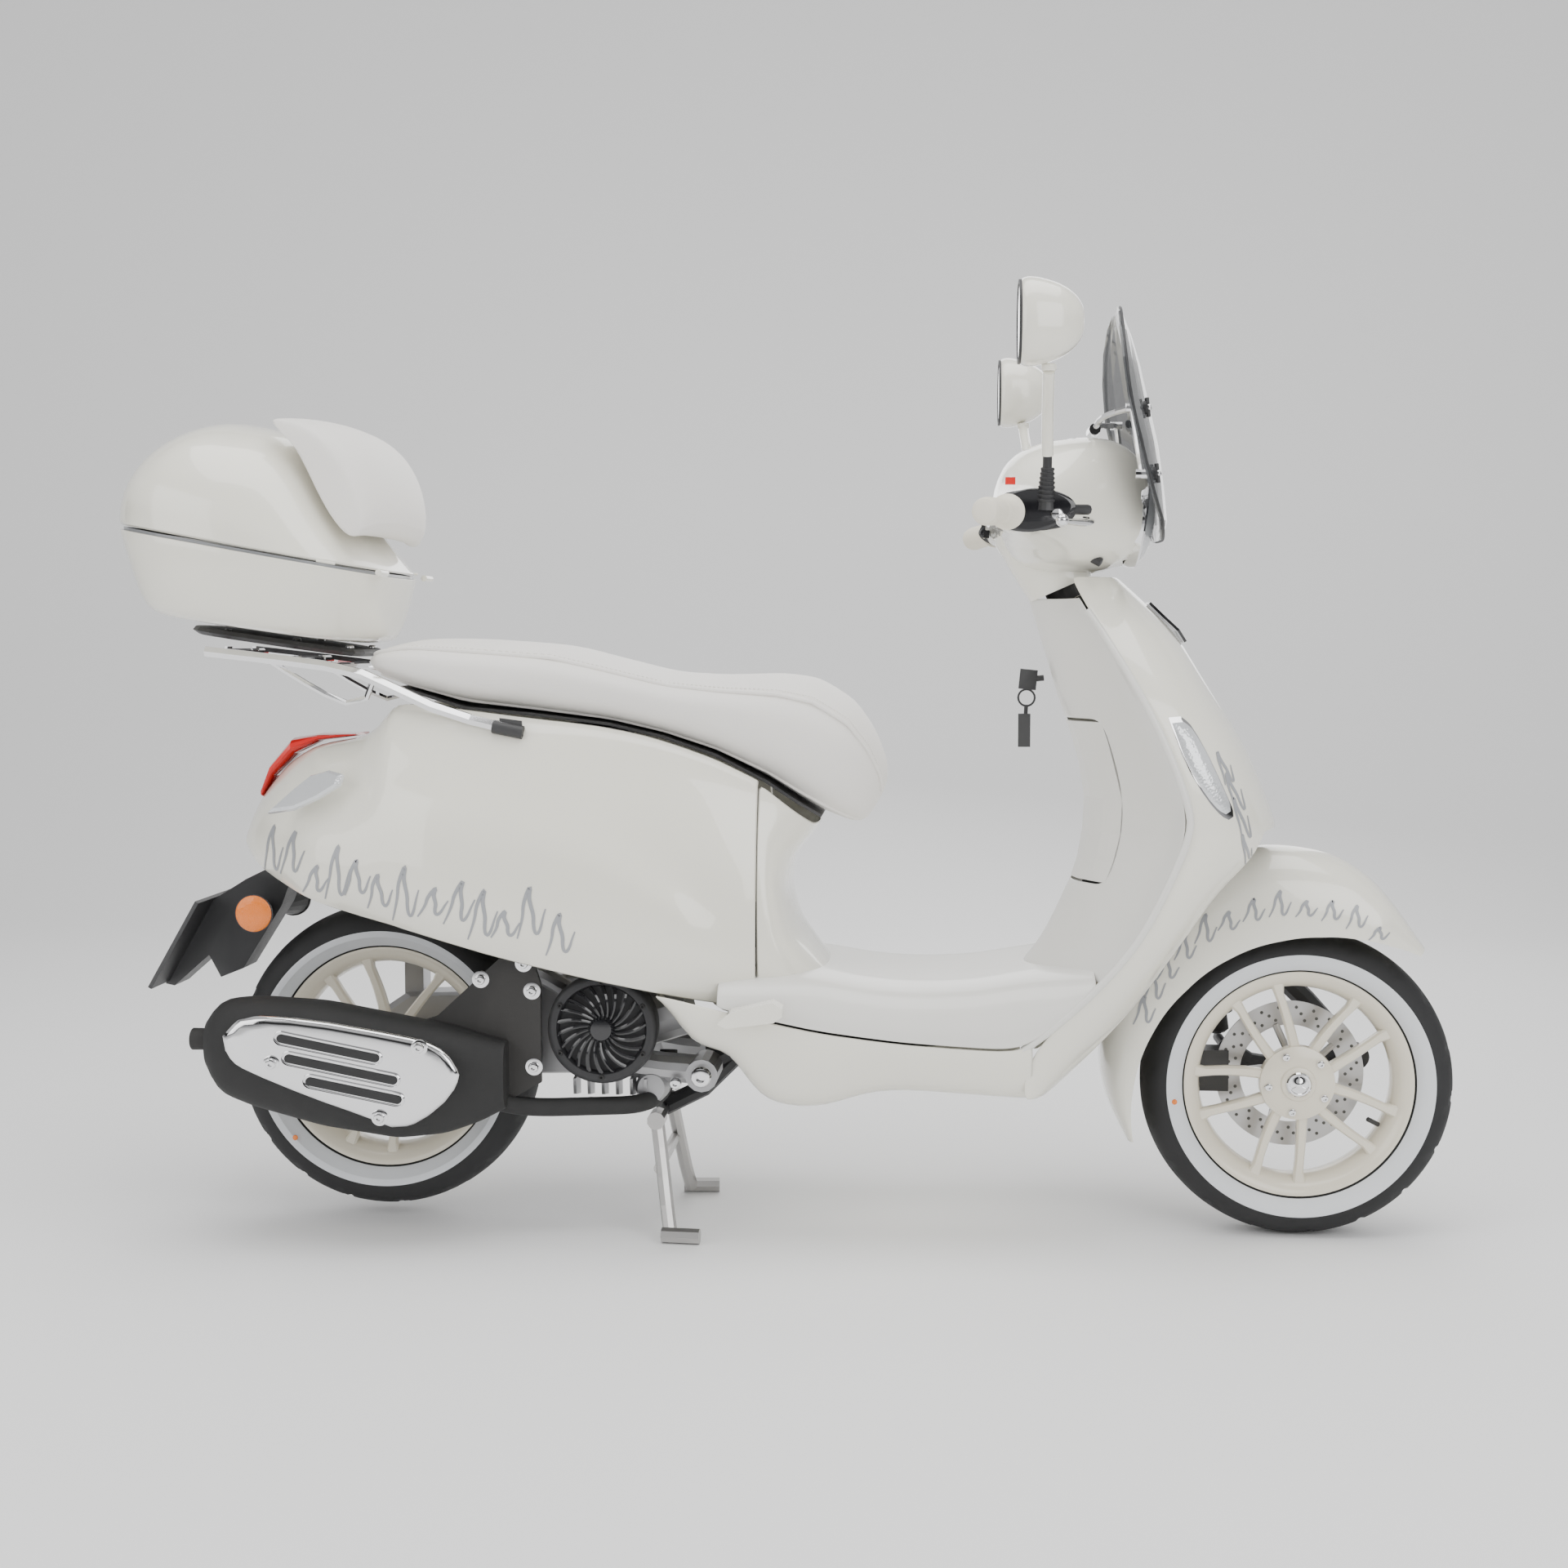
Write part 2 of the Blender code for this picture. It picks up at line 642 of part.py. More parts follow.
# ------------------------------------------------------------------- seat, bucket
def build_bucket(bm):
    grid = []
    plan = [(0.752, 0.150, 0.100), (0.700, 0.146, 0.097), (0.640, 0.140, 0.092),
            (0.600, 0.120, 0.080), (0.596, 0.070, 0.045), (0.596, 0.010, 0.006)]
    for z, rx, ry in plan:
        loop = oval(0.225, 0.0, rx, ry, 16, 3.0)
        loop.append(loop[0])
        grid.append([(x, y, z) for x, y in loop])
    surf = bmesh.new()
    rings = [[surf.verts.new(p) for p in row[:-1]] for row in grid]
    ring_faces(surf, rings)
    surf.faces.new(rings[-1])
    surf.normal_update()
    bmesh.ops.recalc_face_normals(surf, faces=surf.faces)
    flip = surf.faces[0].normal.dot(surf.faces[0].calc_center_median()
                                    - Vector((0.225, 0, 0.700))) < 0
    sign = -1.0 if flip else 1.0
    outer = {}
    inner = {}
    for v in surf.verts:
        outer[v] = bm.verts.new(v.co)
        inner[v] = bm.verts.new(v.co - v.normal * 0.003 * sign)
    for f in surf.faces:
        bm.faces.new([outer[v] for v in f.verts])
        bm.faces.new([inner[v] for v in reversed(f.verts)])
    for e in surf.edges:
        if len(e.link_faces) == 1:
            a, b = e.verts
            bm.faces.new((outer[a], outer[b], inner[b], inner[a]))
    surf.free()


make("seat_bucket", build_bucket, "black_plastic")

SEAT = [((-0.006, 0.858), (0.002, 0.838), 0.080), ((0.016, 0.868), (0.020, 0.830), 0.115),
        ((0.070, 0.880), (0.060, 0.822), 0.138), ((0.150, 0.881), (0.145, 0.792), 0.148),
        ((0.283, 0.872), (0.250, 0.782), 0.152), ((0.363, 0.851), (0.357, 0.768), 0.150),
        ((0.444, 0.831), (0.434, 0.750), 0.146), ((0.524, 0.828), (0.511, 0.723), 0.140),
        ((0.604, 0.830), (0.585, 0.685), 0.132), ((0.657, 0.823), (0.630, 0.655), 0.124),
        ((0.710, 0.790), (0.665, 0.634), 0.112), ((0.741, 0.745), (0.690, 0.624), 0.096),
        ((0.758, 0.698), (0.708, 0.616), 0.072), ((0.756, 0.668), (0.724, 0.620), 0.044)]


def build_cushion(bm):
    loops = []
    for (tx, tz), (bx, bz), half in SEAT:
        mid = ((tx + bx) / 2, (tz + bz) / 2)
        tall = math.hypot(tx - bx, tz - bz) / 2
        up = ((tx - bx) / (2 * tall), (tz - bz) / (2 * tall))
        loops.append([(mid[0] + up[0] * v, u, mid[1] + up[1] * v)
                      for u, v in oval(0, 0, half, tall, 16, 2.7)])
    loft(bm, loops)


make("seat_cushion", build_cushion, "leatherette", SEAT_HINGE)


def build_seat_base(bm):
    grid = []
    for x, z, half in ((0.045, 0.8125, 0.100), (0.145, 0.7830, 0.116), (0.250, 0.7735, 0.120),
                       (0.357, 0.7600, 0.118), (0.434, 0.7420, 0.116), (0.511, 0.7150, 0.108),
                       (0.585, 0.6760, 0.098), (0.630, 0.6450, 0.086), (0.664, 0.6225, 0.060)):
        grid.append([(x, y * half, z) for y in (-1, -0.5, 0, 0.5, 1)])
    shell(bm, grid[::-1], 0.004)


make("seat_base", build_seat_base, "black_plastic", SEAT_HINGE)


# ------------------------------------------------------------------ tail pieces
def build_tail_lamp(bm):
    loops = []
    for x, top, low, half in ((-0.190, 0.656, 0.6420, 0.030), (-0.170, 0.695, 0.6740, 0.048),
                              (-0.135, 0.734, 0.7080, 0.056), (-0.095, 0.740, 0.7280, 0.052),
                              (-0.040, 0.7400, 0.7355, 0.040)):
        loops.append([(x, u, v) for u, v in oval(0, (top + low) / 2, half, (top - low) / 2, 16, 2.6)])
    loft(bm, loops)


make("tail_lamp", build_tail_lamp, "red_lens")


def slab(bm, points, side, thick, lift=0.0):
    """Flat-backed lens following three-dimensional outline points."""
    pts = [Vector((x, side * y, z)) for x, y, z in points]
    mid = sum(pts, Vector()) / len(pts)
    n = Vector()
    for k, p in enumerate(pts):
        n += (p - mid).cross(pts[(k + 1) % len(pts)] - mid)
    n.normalize()
    if n.y * side < 0 or (abs(n.y) < 0.2 and n.x < 0):
        n = -n
    flat = [p - n * (p - mid).dot(n) for p in pts]
    loft(bm, [[p + n * lift for p in flat], [p + n * (lift + thick * 0.6) for p in flat],
              [mid + (p - mid) * 0.86 + n * (lift + thick) for p in flat]])


REAR_SIGNAL = [(-0.131, 0.135, 0.618), (-0.100, 0.133, 0.650), (-0.069, 0.130, 0.674),
               (-0.040, 0.138, 0.682), (-0.015, 0.150, 0.676), (-0.018, 0.158, 0.662),
               (-0.051, 0.160, 0.645), (-0.090, 0.152, 0.626)]
FRONT_SIGNAL = [(1.156, 0.168, 0.780), (1.176, 0.155, 0.778), (1.206, 0.146, 0.735),
                (1.236, 0.144, 0.680), (1.258, 0.142, 0.636), (1.238, 0.160, 0.630),
                (1.212, 0.176, 0.660), (1.180, 0.186, 0.715)]
for word, side in SIDES:
    make("rear_signal_" + word, lambda b, s=side: slab(b, REAR_SIGNAL, s, 0.008, 0.014),
         "clear_lens")
    make("front_signal_" + word, lambda b, s=side: slab(b, FRONT_SIGNAL, s, 0.007, 0.012),
         "clear_lens")


def build_plate(bm):
    prism(bm, [(-0.344, 0.355), (-0.336, 0.369), (-0.268, 0.484), (-0.215, 0.517),
               (-0.180, 0.534), (-0.150, 0.505), (-0.160, 0.478), (-0.222, 0.380),
               (-0.257, 0.366), (-0.275, 0.400), (-0.330, 0.352)], -0.030, 0.030)


plate = make("plate_bracket", build_plate, "black_plastic")
combine(plate, lambda b: brick(b, (-0.304, 0.0, 0.425), (0.006, 0.200, 0.150),
                               spin_y=math.radians(30.0)))
for side in (-1.0, 1.0):
    combine(plate, lambda b, s=side: rod(b, (-0.190, s * 0.020, 0.470), (-0.182, s * 0.092, 0.473),
                                         0.012, 0.027, 16))

# ------------------------------------------------------- carrier and top case
TILT = math.atan2(0.964 - 1.047, 0.084 + 0.372)


def build_rack(bm):
    sweep(bm, smooth([(-0.240, -0.112, 0.863), (-0.033, -0.118, 0.840), (0.010, -0.128, 0.826),
                      (0.120, -0.156, 0.776), (0.222, -0.158, 0.752)], 9), 0.0085, 6)


rack = make("luggage_rack", build_rack, "chrome")
combine(rack, lambda b: sweep(b, smooth([(-0.240, 0.112, 0.863), (-0.033, 0.118, 0.840),
                                         (0.010, 0.128, 0.826), (0.120, 0.156, 0.776),
                                         (0.222, 0.158, 0.752)], 9), 0.0085, 6))
for x, z in ((-0.225, 0.8610), (-0.120, 0.8500), (-0.040, 0.8410)):
    combine(rack, lambda b, px=x, pz=z: rod(b, (px, -0.116, pz), (px, 0.116, pz), 0.0060, segs=6))
for side in (-1.0, 1.0):
    combine(rack, lambda b, s=side: sweep(
        b, smooth([(-0.148, s * 0.113, 0.852), (-0.090, s * 0.112, 0.815),
                   (-0.030, s * 0.112, 0.784), (0.000, s * 0.112, 0.790),
                   (0.014, s * 0.124, 0.824)], 7), 0.0045, 6))


def build_base_plate(bm):
    loops = []
    for z, rx, ry in ((0.8725, 0.122, 0.104), (0.878, 0.130, 0.112), (0.8840, 0.126, 0.108)):
        loops.append([(-0.150 + x, y, z - x * 0.145)
                      for x, y in oval(0, 0, rx, ry, 20, 4.0)])
    loft(bm, loops)


make("case_base_plate", build_base_plate, "black_plastic")

TRAY_REAR = [(0.893, -0.250), (0.914, -0.300), (0.935, -0.342), (0.957, -0.356), (1.002, -0.368),
             (1.046, -0.376)]
TRAY_FRONT = [(0.893, -0.012), (0.914, 0.020), (0.935, 0.040), (0.957, 0.056), (1.002, 0.072),
              (1.046, 0.084)]


def case_loop(xa, xb, z_mid, half, count=22, power=3.2):
    """Level ring of the case; the level tips down toward the front."""
    cx = (xa + xb) / 2
    slope = lerp(-0.146, math.tan(TILT), min(1.0, max(0.0, (z_mid - 0.895) / 0.11)))
    return [(x, y, z_mid + (x + 0.145) * slope)
            for x, y in oval(cx, 0, (xb - xa) / 2, half, count, power)]


def build_tray(bm):
    outer = []
    inner = []
    for z, xa, xb, half in ((0.8950, -0.270, -0.048, 0.150), (0.9080, -0.318, -0.006, 0.188),
                            (0.9300, -0.346, 0.008, 0.210), (0.9600, -0.358, 0.017, 0.221),
                            (1.0045, -0.372, 0.027, 0.228)):
        outer.append(case_loop(xa, xb, z, half))
        inner.append(case_loop(xa + 0.004, xb - 0.004, z + 0.003, half - 0.004))
    inner[-1] = case_loop(-0.368, 0.023, 1.0045, 0.224)
    loft_cup(bm, outer, inner)


def loft_cup(bm, outer, inner):
    """Hollow bowl: outer skin, inner skin and the rim between them."""
    o = [[bm.verts.new(p) for p in loop] for loop in outer]
    i = [[bm.verts.new(p) for p in loop] for loop in inner]
    ring_faces(bm, o)
    ring_faces(bm, i)
    bm.faces.new(o[0])
    bm.faces.new(i[0])
    n = len(o[-1])
    for k in range(n):
        m = (k + 1) % n
        bm.faces.new((o[-1][k], o[-1][m], i[-1][m], i[-1][k]))


make("case_tray", build_tray, "ivory_paint")


def build_lid(bm):
    rows = [(1.0060, -0.373, 0.028, 0.2285), (1.040, -0.368, -0.008, 0.228),
            (1.075, -0.356, -0.036, 0.222), (1.110, -0.332, -0.056, 0.208),
            (1.140, -0.304, -0.074, 0.186), (1.165, -0.270, -0.095, 0.152),
            (1.182, -0.236, -0.118, 0.108), (1.1915, -0.205, -0.145, 0.050)]
    outer = [case_loop(a, b, z, h, 22, 2.9) for z, a, b, h in rows[::-1]]
    inner = [case_loop(a + 0.004, b - 0.004, z - 0.004, h - 0.004, 22, 2.9)
             for z, a, b, h in rows[::-1]]
    inner[-1] = case_loop(-0.369, 0.024, 1.0060, 0.2245, 22, 2.9)
    inner[0] = case_loop(-0.195, -0.150, 1.1860, 0.030, 22, 2.9)
    loft_cup(bm, outer, inner)


make("case_lid", build_lid, "ivory_paint", LID_HINGE)


def build_backrest(bm):
    loops = []
    rows = [(-0.166, 0.060), (-0.150, 0.110), (-0.110, 0.140), (0.0, 0.152), (0.110, 0.140),
            (0.150, 0.110), (0.166, 0.060)]
    for y, _ in rows:
        f = math.sqrt(max(0.0, 1 - (y / 0.172) ** 2))
        back = [(-0.116, 1.190), (-0.086, 1.167), (-0.067, 1.134), (-0.050, 1.097),
                (-0.029, 1.055), (0.000, 1.019)]
        front = [(-0.095, 1.2035), (-0.050, 1.197), (-0.010, 1.178), (0.018, 1.150),
                 (0.036, 1.105), (0.037, 1.046)]
        sink = (1 - f) * 0.060
        full = 0.30 + 0.70 * f
        poly = [(x - sink * 0.5 + 0.0045, y, z - sink * 0.10 + 0.0045) for x, z in back]
        for (bx, bz), (x, z) in reversed(list(zip(back, front))):
            poly.append((lerp(bx, x, full) - sink * 0.5 + 0.0045, y,
                         lerp(bz, z, full) - sink * 0.10))
        loops.append(poly)
    loft(bm, loops)


make("backrest_pad", build_backrest, "leatherette", LID_HINGE)


# ------------------------------------------------------------ key, pegs, stand
def build_key(bm):
    rod(bm, (0.9915, 0.040, 0.8230), (0.978, 0.040, 0.8216), 0.0045, segs=10)


key = make("ignition_key", build_key, "black_plastic", (0.992, 0.040, 0.823))
combine(key, lambda b: brick(b, (0.968, 0.040, 0.8206), (0.026, 0.008, 0.030), spin_y=0.10))


def build_fobs(bm):
    revolve(bm, [(0.0125 + 0.0016 * math.cos(t), 0.0016 * math.sin(t))
                 for t in (0, 1.05, 2.09, 3.14, 4.19, 5.24)], (0.9662, 0.0475, 0.7930),
            (0.2, 1.0, 0.0), 20)


fobs = make("key_fobs", build_fobs, "black_plastic", (0.9662, 0.0475, 0.8035))
combine(fobs, lambda b: sweep(b, [(0.966, 0.0475, 0.782), (0.965, 0.045, 0.766)], 0.003, 8))
combine(fobs, lambda b: brick(b, (0.963, 0.044, 0.744), (0.018, 0.011, 0.050)))


def build_peg(bm, s):
    prism(bm, [(0.527, 0.345), (0.540, 0.339), (0.606, 0.348), (0.618, 0.356), (0.618, 0.368),
               (0.604, 0.376), (0.545, 0.362)], s * 0.2115, s * 0.2460)


for word, side in SIDES:
    make("passenger_peg_" + word, lambda b, s=side: build_peg(b, s), "ivory_paint",
         (0.570, side * 0.2115, 0.378))


def build_stand(bm):
    rod(bm, (0.420, 0.064, 0.170), (0.420, 0.110, 0.170), 0.014, segs=10)


def stand_leg(bm, s):
    sweep(bm, smooth([(0.420, s * 0.080, 0.170), (0.428, s * 0.092, 0.120),
                      (0.440, s * 0.116, 0.040), (0.446, s * 0.130, 0.0105)], 5), 0.0105, 8)


def stand_foot(bm, s):
    sweep(bm, [(0.434, s * 0.136, 0.0115), (0.490, s * 0.140, 0.0115)], 0.0115, 8)


stand = make("centre_stand", lambda b: stand_leg(b, -1.0), "steel", STAND)
combine(stand, lambda b: rod(b, (0.425, -0.100, 0.100), (0.425, 0.100, 0.100), 0.008, segs=10))
combine(stand, lambda b: stand_leg(b, 1.0))
for side in (-1.0, 1.0):
    combine(stand, lambda b, s=side: stand_foot(b, s))
    combine(stand, lambda b, s=side: rod(b, (0.420, s * 0.0604, 0.170), (0.420, s * 0.095, 0.170),
                                         0.0135, segs=10))


# --------------------------------------------------------------- steering group
def along_bar(y, side):
    """Point on the bar centreline at distance y from the middle."""
    x, z = curve_at([(0.100, 0.962, 1.060), (0.236, 0.929, 1.053), (0.362, 0.889, 1.046)], y)
    return (x, side * y, z)


def build_fork(bm):
    rod(bm, on_axis(0.095), on_axis(-0.440), 0.0140, segs=16)


fork = make("steering_fork", build_fork, "black_plastic", STEER)
combine(fork, lambda b: rod(b, on_axis(-0.002), on_axis(-0.036), 0.0245, segs=16))
LEG = [on_axis(-0.450), on_axis(-0.462, 0.004, 0.0), (1.205, 0.030, 0.545), (1.235, 0.104, 0.505),
       (1.290, 0.112, 0.430), (1.400, 0.112, 0.330), (1.452, 0.112, 0.268), (1.470, 0.112, 0.2475)]
combine(fork, lambda b: sweep(b, smooth(LEG, 10), 0.0165, 8))
combine(fork, lambda b: rod(b, on_axis(-0.4265), on_axis(-0.462), 0.0245, segs=16))
combine(fork, lambda b: rod(b, (1.245, 0.105, 0.495), (1.230, 0.128, 0.510), 0.012, segs=12))
BAR = [along_bar(0.358, -1.0), along_bar(0.236, -1.0), (0.962, -0.100, 1.060),
       (0.968, 0.0, 1.0575), (0.962, 0.100, 1.060), along_bar(0.236, 1.0),
       along_bar(0.358, 1.0)]
combine(fork, lambda b: sweep(b, BAR, 0.0110, 12))


def build_headset(bm):
    outer = []
    stations = [(-0.2300, 0.9330, 1.0535, 0.0250, 0.0240), (-0.180, 0.9500, 1.0560, 0.036, 0.034),
                (-0.130, 0.9790, 1.0640, 0.064, 0.056), (-0.095, 1.0080, 1.0720, 0.094, 0.083),
                (-0.050, 1.0260, 1.0740, 0.112, 0.098), (0.0, 1.0300, 1.0740, 0.115, 0.101)]
    stations += [(-y, x, z, a, b) for y, x, z, a, b in stations[-2::-1]]
    for y, x, z, a, b in stations:
        outer.append([(u, y, v) for u, v in oval(x, z, a, b, 16, 2.6, 0.10)])
    loft(bm, outer)


def hollow_headset(bm):
    inner = []
    stations = [(-0.2310, 0.9330, 1.0535, 0.0150, 0.0150), (-0.180, 0.9500, 1.0560, 0.032, 0.030),
                (-0.130, 0.9790, 1.0640, 0.060, 0.052), (-0.095, 1.0080, 1.0720, 0.090, 0.079),
                (-0.050, 1.0260, 1.0740, 0.108, 0.094), (0.0, 1.0300, 1.0740, 0.111, 0.097)]
    stations += [(-y, x, z, a, b) for y, x, z, a, b in stations[-2::-1]]
    for y, x, z, a, b in stations:
        inner.append([(u, y, v) for u, v in oval(x, z, a, b, 16, 2.6, 0.10)])
    loft(bm, inner)


headset = make("headset_cover", build_headset, "ivory_paint", STEER)


def neck(bm):
    loops = []
    for t, rx, ry in ((0.080, 0.062, 0.060), (0.030, 0.056, 0.056), (0.006, 0.052, 0.054)):
        loop = []
        for u, v in oval(0, 0, rx, ry, 16, 2.3):
            loop.append(on_axis(t, v, u))
        loops.append(loop)
    loft(bm, loops)


def neck_hollow(bm):
    loops = []
    for t, rx, ry in ((0.084, 0.056, 0.054), (-0.010, 0.046, 0.048)):
        loops.append([on_axis(t, v, u) for u, v in oval(0, 0, rx, ry, 16, 2.3)])
    loft(bm, loops)


combine(headset, neck)
combine(headset, hollow_headset, "DIFFERENCE")
combine(headset, neck_hollow, "DIFFERENCE")


def lamp_hole(bm):
    rod(bm, (1.080, 0, 1.058), (1.170, 0, 1.046), 0.0680, segs=20)


def gauge_hole(bm):
    brick(bm, (0.985, 0.0, 1.150), (0.105, 0.110, 0.080), spin_y=-0.35)


combine(headset, lamp_hole, "DIFFERENCE")
combine(headset, gauge_hole, "DIFFERENCE")


def build_headlight(bm):
    lathe(bm, (1.085, 0, 1.0573), (0.09, 0, -0.012),
          [(0.0, 0.030), (0.012, 0.058), (0.030, 0.0655), (0.046, 0.0640), (0.058, 0.052),
           (0.064, 0.026)], 20)


make("headlight", build_headlight, "clear_lens", STEER)


def build_gauge(bm):
    brick(bm, (0.9880, 0.0, 1.1440), (0.099, 0.106, 0.018), spin_y=-0.35)


make("instrument_panel", build_gauge, "black_gloss", STEER)

# fender follows a ring of radius about the wheel
CREST = [(200.0, 0.262), (185.0, 0.281), (165.0, 0.296), (145.0, 0.315), (125.0, 0.336),
         (105.0, 0.353), (90.0, 0.3435), (76.0, 0.331), (67.0, 0.303), (57.0, 0.281),
         (48.0, 0.264)]
SKIRT = [(200.0, 0.258), (195.0, 0.255), (180.0, 0.245), (160.0, 0.232), (140.0, 0.222),
         (120.0, 0.218), (100.0, 0.218), (85.0, 0.222), (72.0, 0.230), (60.0, 0.240),
         (48.0, 0.254)]


def build_fender(bm):
    grid = []
    for deg, crest in CREST:
        skirt = curve_at(SKIRT[::-1], deg)[0]
        half = 0.084 if deg < 150 else lerp(0.084, 0.068, (deg - 150) / 50.0)
        if deg < 75:
            half = lerp(0.050, 0.084, max(0.0, (deg - 48) / 27.0))
        row = []
        for k in range(-6, 7):
            u = abs(k) / 6.0
            a = u * math.pi / 2
            r = skirt + (crest - skirt) * math.cos(a) ** 0.75 if u < 1 else skirt
            y = math.copysign(half * math.sin(a) ** 0.75, k) if k else 0.0
            t = math.radians(deg)
            row.append((WHEELBASE + r * math.cos(t), y, FRONT_AXLE_Z + 0.004 + r * math.sin(t)))
        grid.append(row)
    shell(bm, [list(reversed(r)) for r in grid][::-1], 0.003)


fender = make("front_fender", build_fender, "ivory_paint", STEER)
combine(fender, lambda b: sweep(b, [on_axis(-0.410), on_axis(-0.470, 0.004), (1.205, 0.034, 0.540),
                                    (1.236, 0.106, 0.500), (1.262, 0.112, 0.468)], 0.0268, 14),
        "DIFFERENCE")


def build_screen(bm):
    grid = []
    edge = [(1.128, 1.024, 0.050), (1.134, 1.050, 0.120), (1.129, 1.100, 0.160),
            (1.120, 1.160, 0.180), (1.107, 1.215, 0.180), (1.094, 1.270, 0.165),
            (1.080, 1.315, 0.135), (1.068, 1.345, 0.090), (1.062, 1.358, 0.045)]
    for x, z, half in edge:
        row = []
        for k in range(-5, 6):
            y = half * k / 5.0
            row.append((x + 0.030 - 1.35 * y * y, y, z))
        grid.append(row)
    shell(bm, grid, 0.0035)


make("windscreen", build_screen, "smoke_screen", STEER)


def screen_x(y, z):
    base = float(np.interp(z, [1.024, 1.050, 1.100, 1.160, 1.215, 1.270],
                           [1.128, 1.134, 1.129, 1.120, 1.107, 1.094]))
    return base + 0.030 - 1.35 * y * y


def build_mount(bm):
    rod(bm, (1.058, -0.030, 1.1850), (1.058, 0.030, 1.1850), 0.0085, segs=12)


mount = make("screen_mount", build_mount, "chrome", STEER)
for side in (-1.0, 1.0):
    for y, z in ((0.118, 1.205), (0.132, 1.112)):
        combine(mount, lambda b, s=side, p=y, q=z: rod(
            b, (screen_x(p, q) - 0.0100, s * p, q), (screen_x(p, q) - 0.0270, s * p, q), 0.0065,
            segs=10))
    combine(mount, lambda b, s=side: sweep(
        b, smooth([(1.058, s * 0.020, 1.187), (1.066, s * 0.070, 1.200),
                   (screen_x(0.118, 1.205) - 0.018, s * 0.118, 1.205)], 8), 0.0045, 8))
    combine(mount, lambda b, s=side: sweep(
        b, [(screen_x(0.118, 1.205) - 0.018, s * 0.118, 1.205),
            (screen_x(0.132, 1.112) - 0.018, s * 0.132, 1.112)], 0.0045, 8))


# ------------------------------------------------------------- hand controls
def build_grip(bm, side):
    profile = [(0.0114, 0.0), (0.0240, 0.0), (0.0245, 0.004), (0.0185, 0.010), (0.0172, 0.040),
               (0.0178, 0.075), (0.0185, 0.104), (0.0165, 0.115), (0.0114, 0.116)]
    a = Vector(along_bar(0.250, side))
    b = Vector(along_bar(0.361, side))
    axis = (b - a).normalized()
    revolve(bm, [(r, h) for r, h in profile], a, axis, 14)


make("left_grip", lambda b: build_grip(b, 1.0), "cream_rubber", along_bar(0.236, 1.0))
make("throttle_grip", lambda b: build_grip(b, -1.0), "cream_rubber", along_bar(0.236, -1.0))


def build_pod(bm, side):
    loops = []
    for y, rx, rz in ((0.2320, 0.024, 0.022), (0.2330, 0.036, 0.026), (0.2370, 0.040, 0.028),
                      (0.2406, 0.036, 0.026)):
        x, _, z = along_bar(y, 1.0)
        loops.append([(u, side * y, v) for u, v in oval(x + 0.030, z + 0.002, rx * 1.45, rz, 16, 2.4)])
    loft(bm, loops)


def pod_bore(bm, side):
    rod(bm, along_bar(0.215, side), along_bar(0.260, side), 0.0138, segs=12)


def mirror_stem(bm, side):
    sweep(bm, smooth([(0.976, side * 0.2365, 1.058), (0.978, side * 0.240, 1.110),
                      (0.976, side * 0.262, 1.170), (0.973, side * 0.330, 1.212),
                      (0.972, side * 0.352, 1.2270)], 8), 0.0062, 8)


def mirror_boot(bm, side):
    rod(bm, (0.976, side * 0.2365, 1.055), (0.978, side * 0.240, 1.112), 0.0120, 0.0085, 12)


for word, side in SIDES:
    pod = make("switch_pod_" + word, lambda b, s=side: build_pod(b, s), "black_plastic", STEER)
    combine(pod, lambda b, s=side: mirror_stem(b, s))
    combine(pod, lambda b, s=side: mirror_boot(b, s))
    combine(pod, lambda b, s=side: rod(b, (1.000, s * 0.2365, 1.056), (1.036, s * 0.2040, 1.0575),
                                       0.0070, segs=8))
    combine(pod, lambda b, s=side: pod_bore(b, s), "DIFFERENCE")


def build_mirror(bm, side):
    loops = []
    for x, ry, rz in ((0.9330, 0.046, 0.050), (0.9390, 0.052, 0.056), (0.960, 0.050, 0.053),
                      (0.990, 0.040, 0.043), (1.010, 0.024, 0.027), (1.016, 0.010, 0.012)):
        lift = (0.975 - x) * -0.06
        loops.append([(x, side * 0.3685 + u, 1.2865 + lift + v)
                      for u, v in oval(0, 0, ry, rz, 16, 2.2)])
    loft(bm, loops)


for word, side in SIDES:
    make("mirror_head_" + word, lambda b, s=side: build_mirror(b, s), "mirror_white",
         (0.972, side * 0.3550, 1.2310))


def build_lever(bm, side):
    path = smooth([(1.034, side * 0.2065, 1.0440), (1.037, side * 0.232, 1.0400),
                   (1.024, side * 0.276, 1.0350), (1.000, side * 0.330, 1.0340),
                   (0.992, side * 0.356, 1.0345)], 8)
    sweep(bm, path, 0.0058, 8, 0.75)


def lever_ball(bm, side):
    lathe(bm, (0.991, side * 0.352, 1.0345), (-0.10, side * 1.0, 0.0),
          [(-0.008, 0.003), (-0.005, 0.0068), (0.0, 0.0085), (0.005, 0.0068), (0.008, 0.003)], 10)


for word, side in SIDES:
    lever = make("brake_lever_" + word, lambda b, s=side: build_lever(b, s), "chrome",
                 (1.034, side * 0.2065, 1.0440))
    combine(lever, lambda b, s=side: lever_ball(b, s))
    combine(lever, lambda b, s=side: rod(b, (1.034, s * 0.2065, 1.038), (1.034, s * 0.2065, 1.050),
                                         0.0080, segs=10))

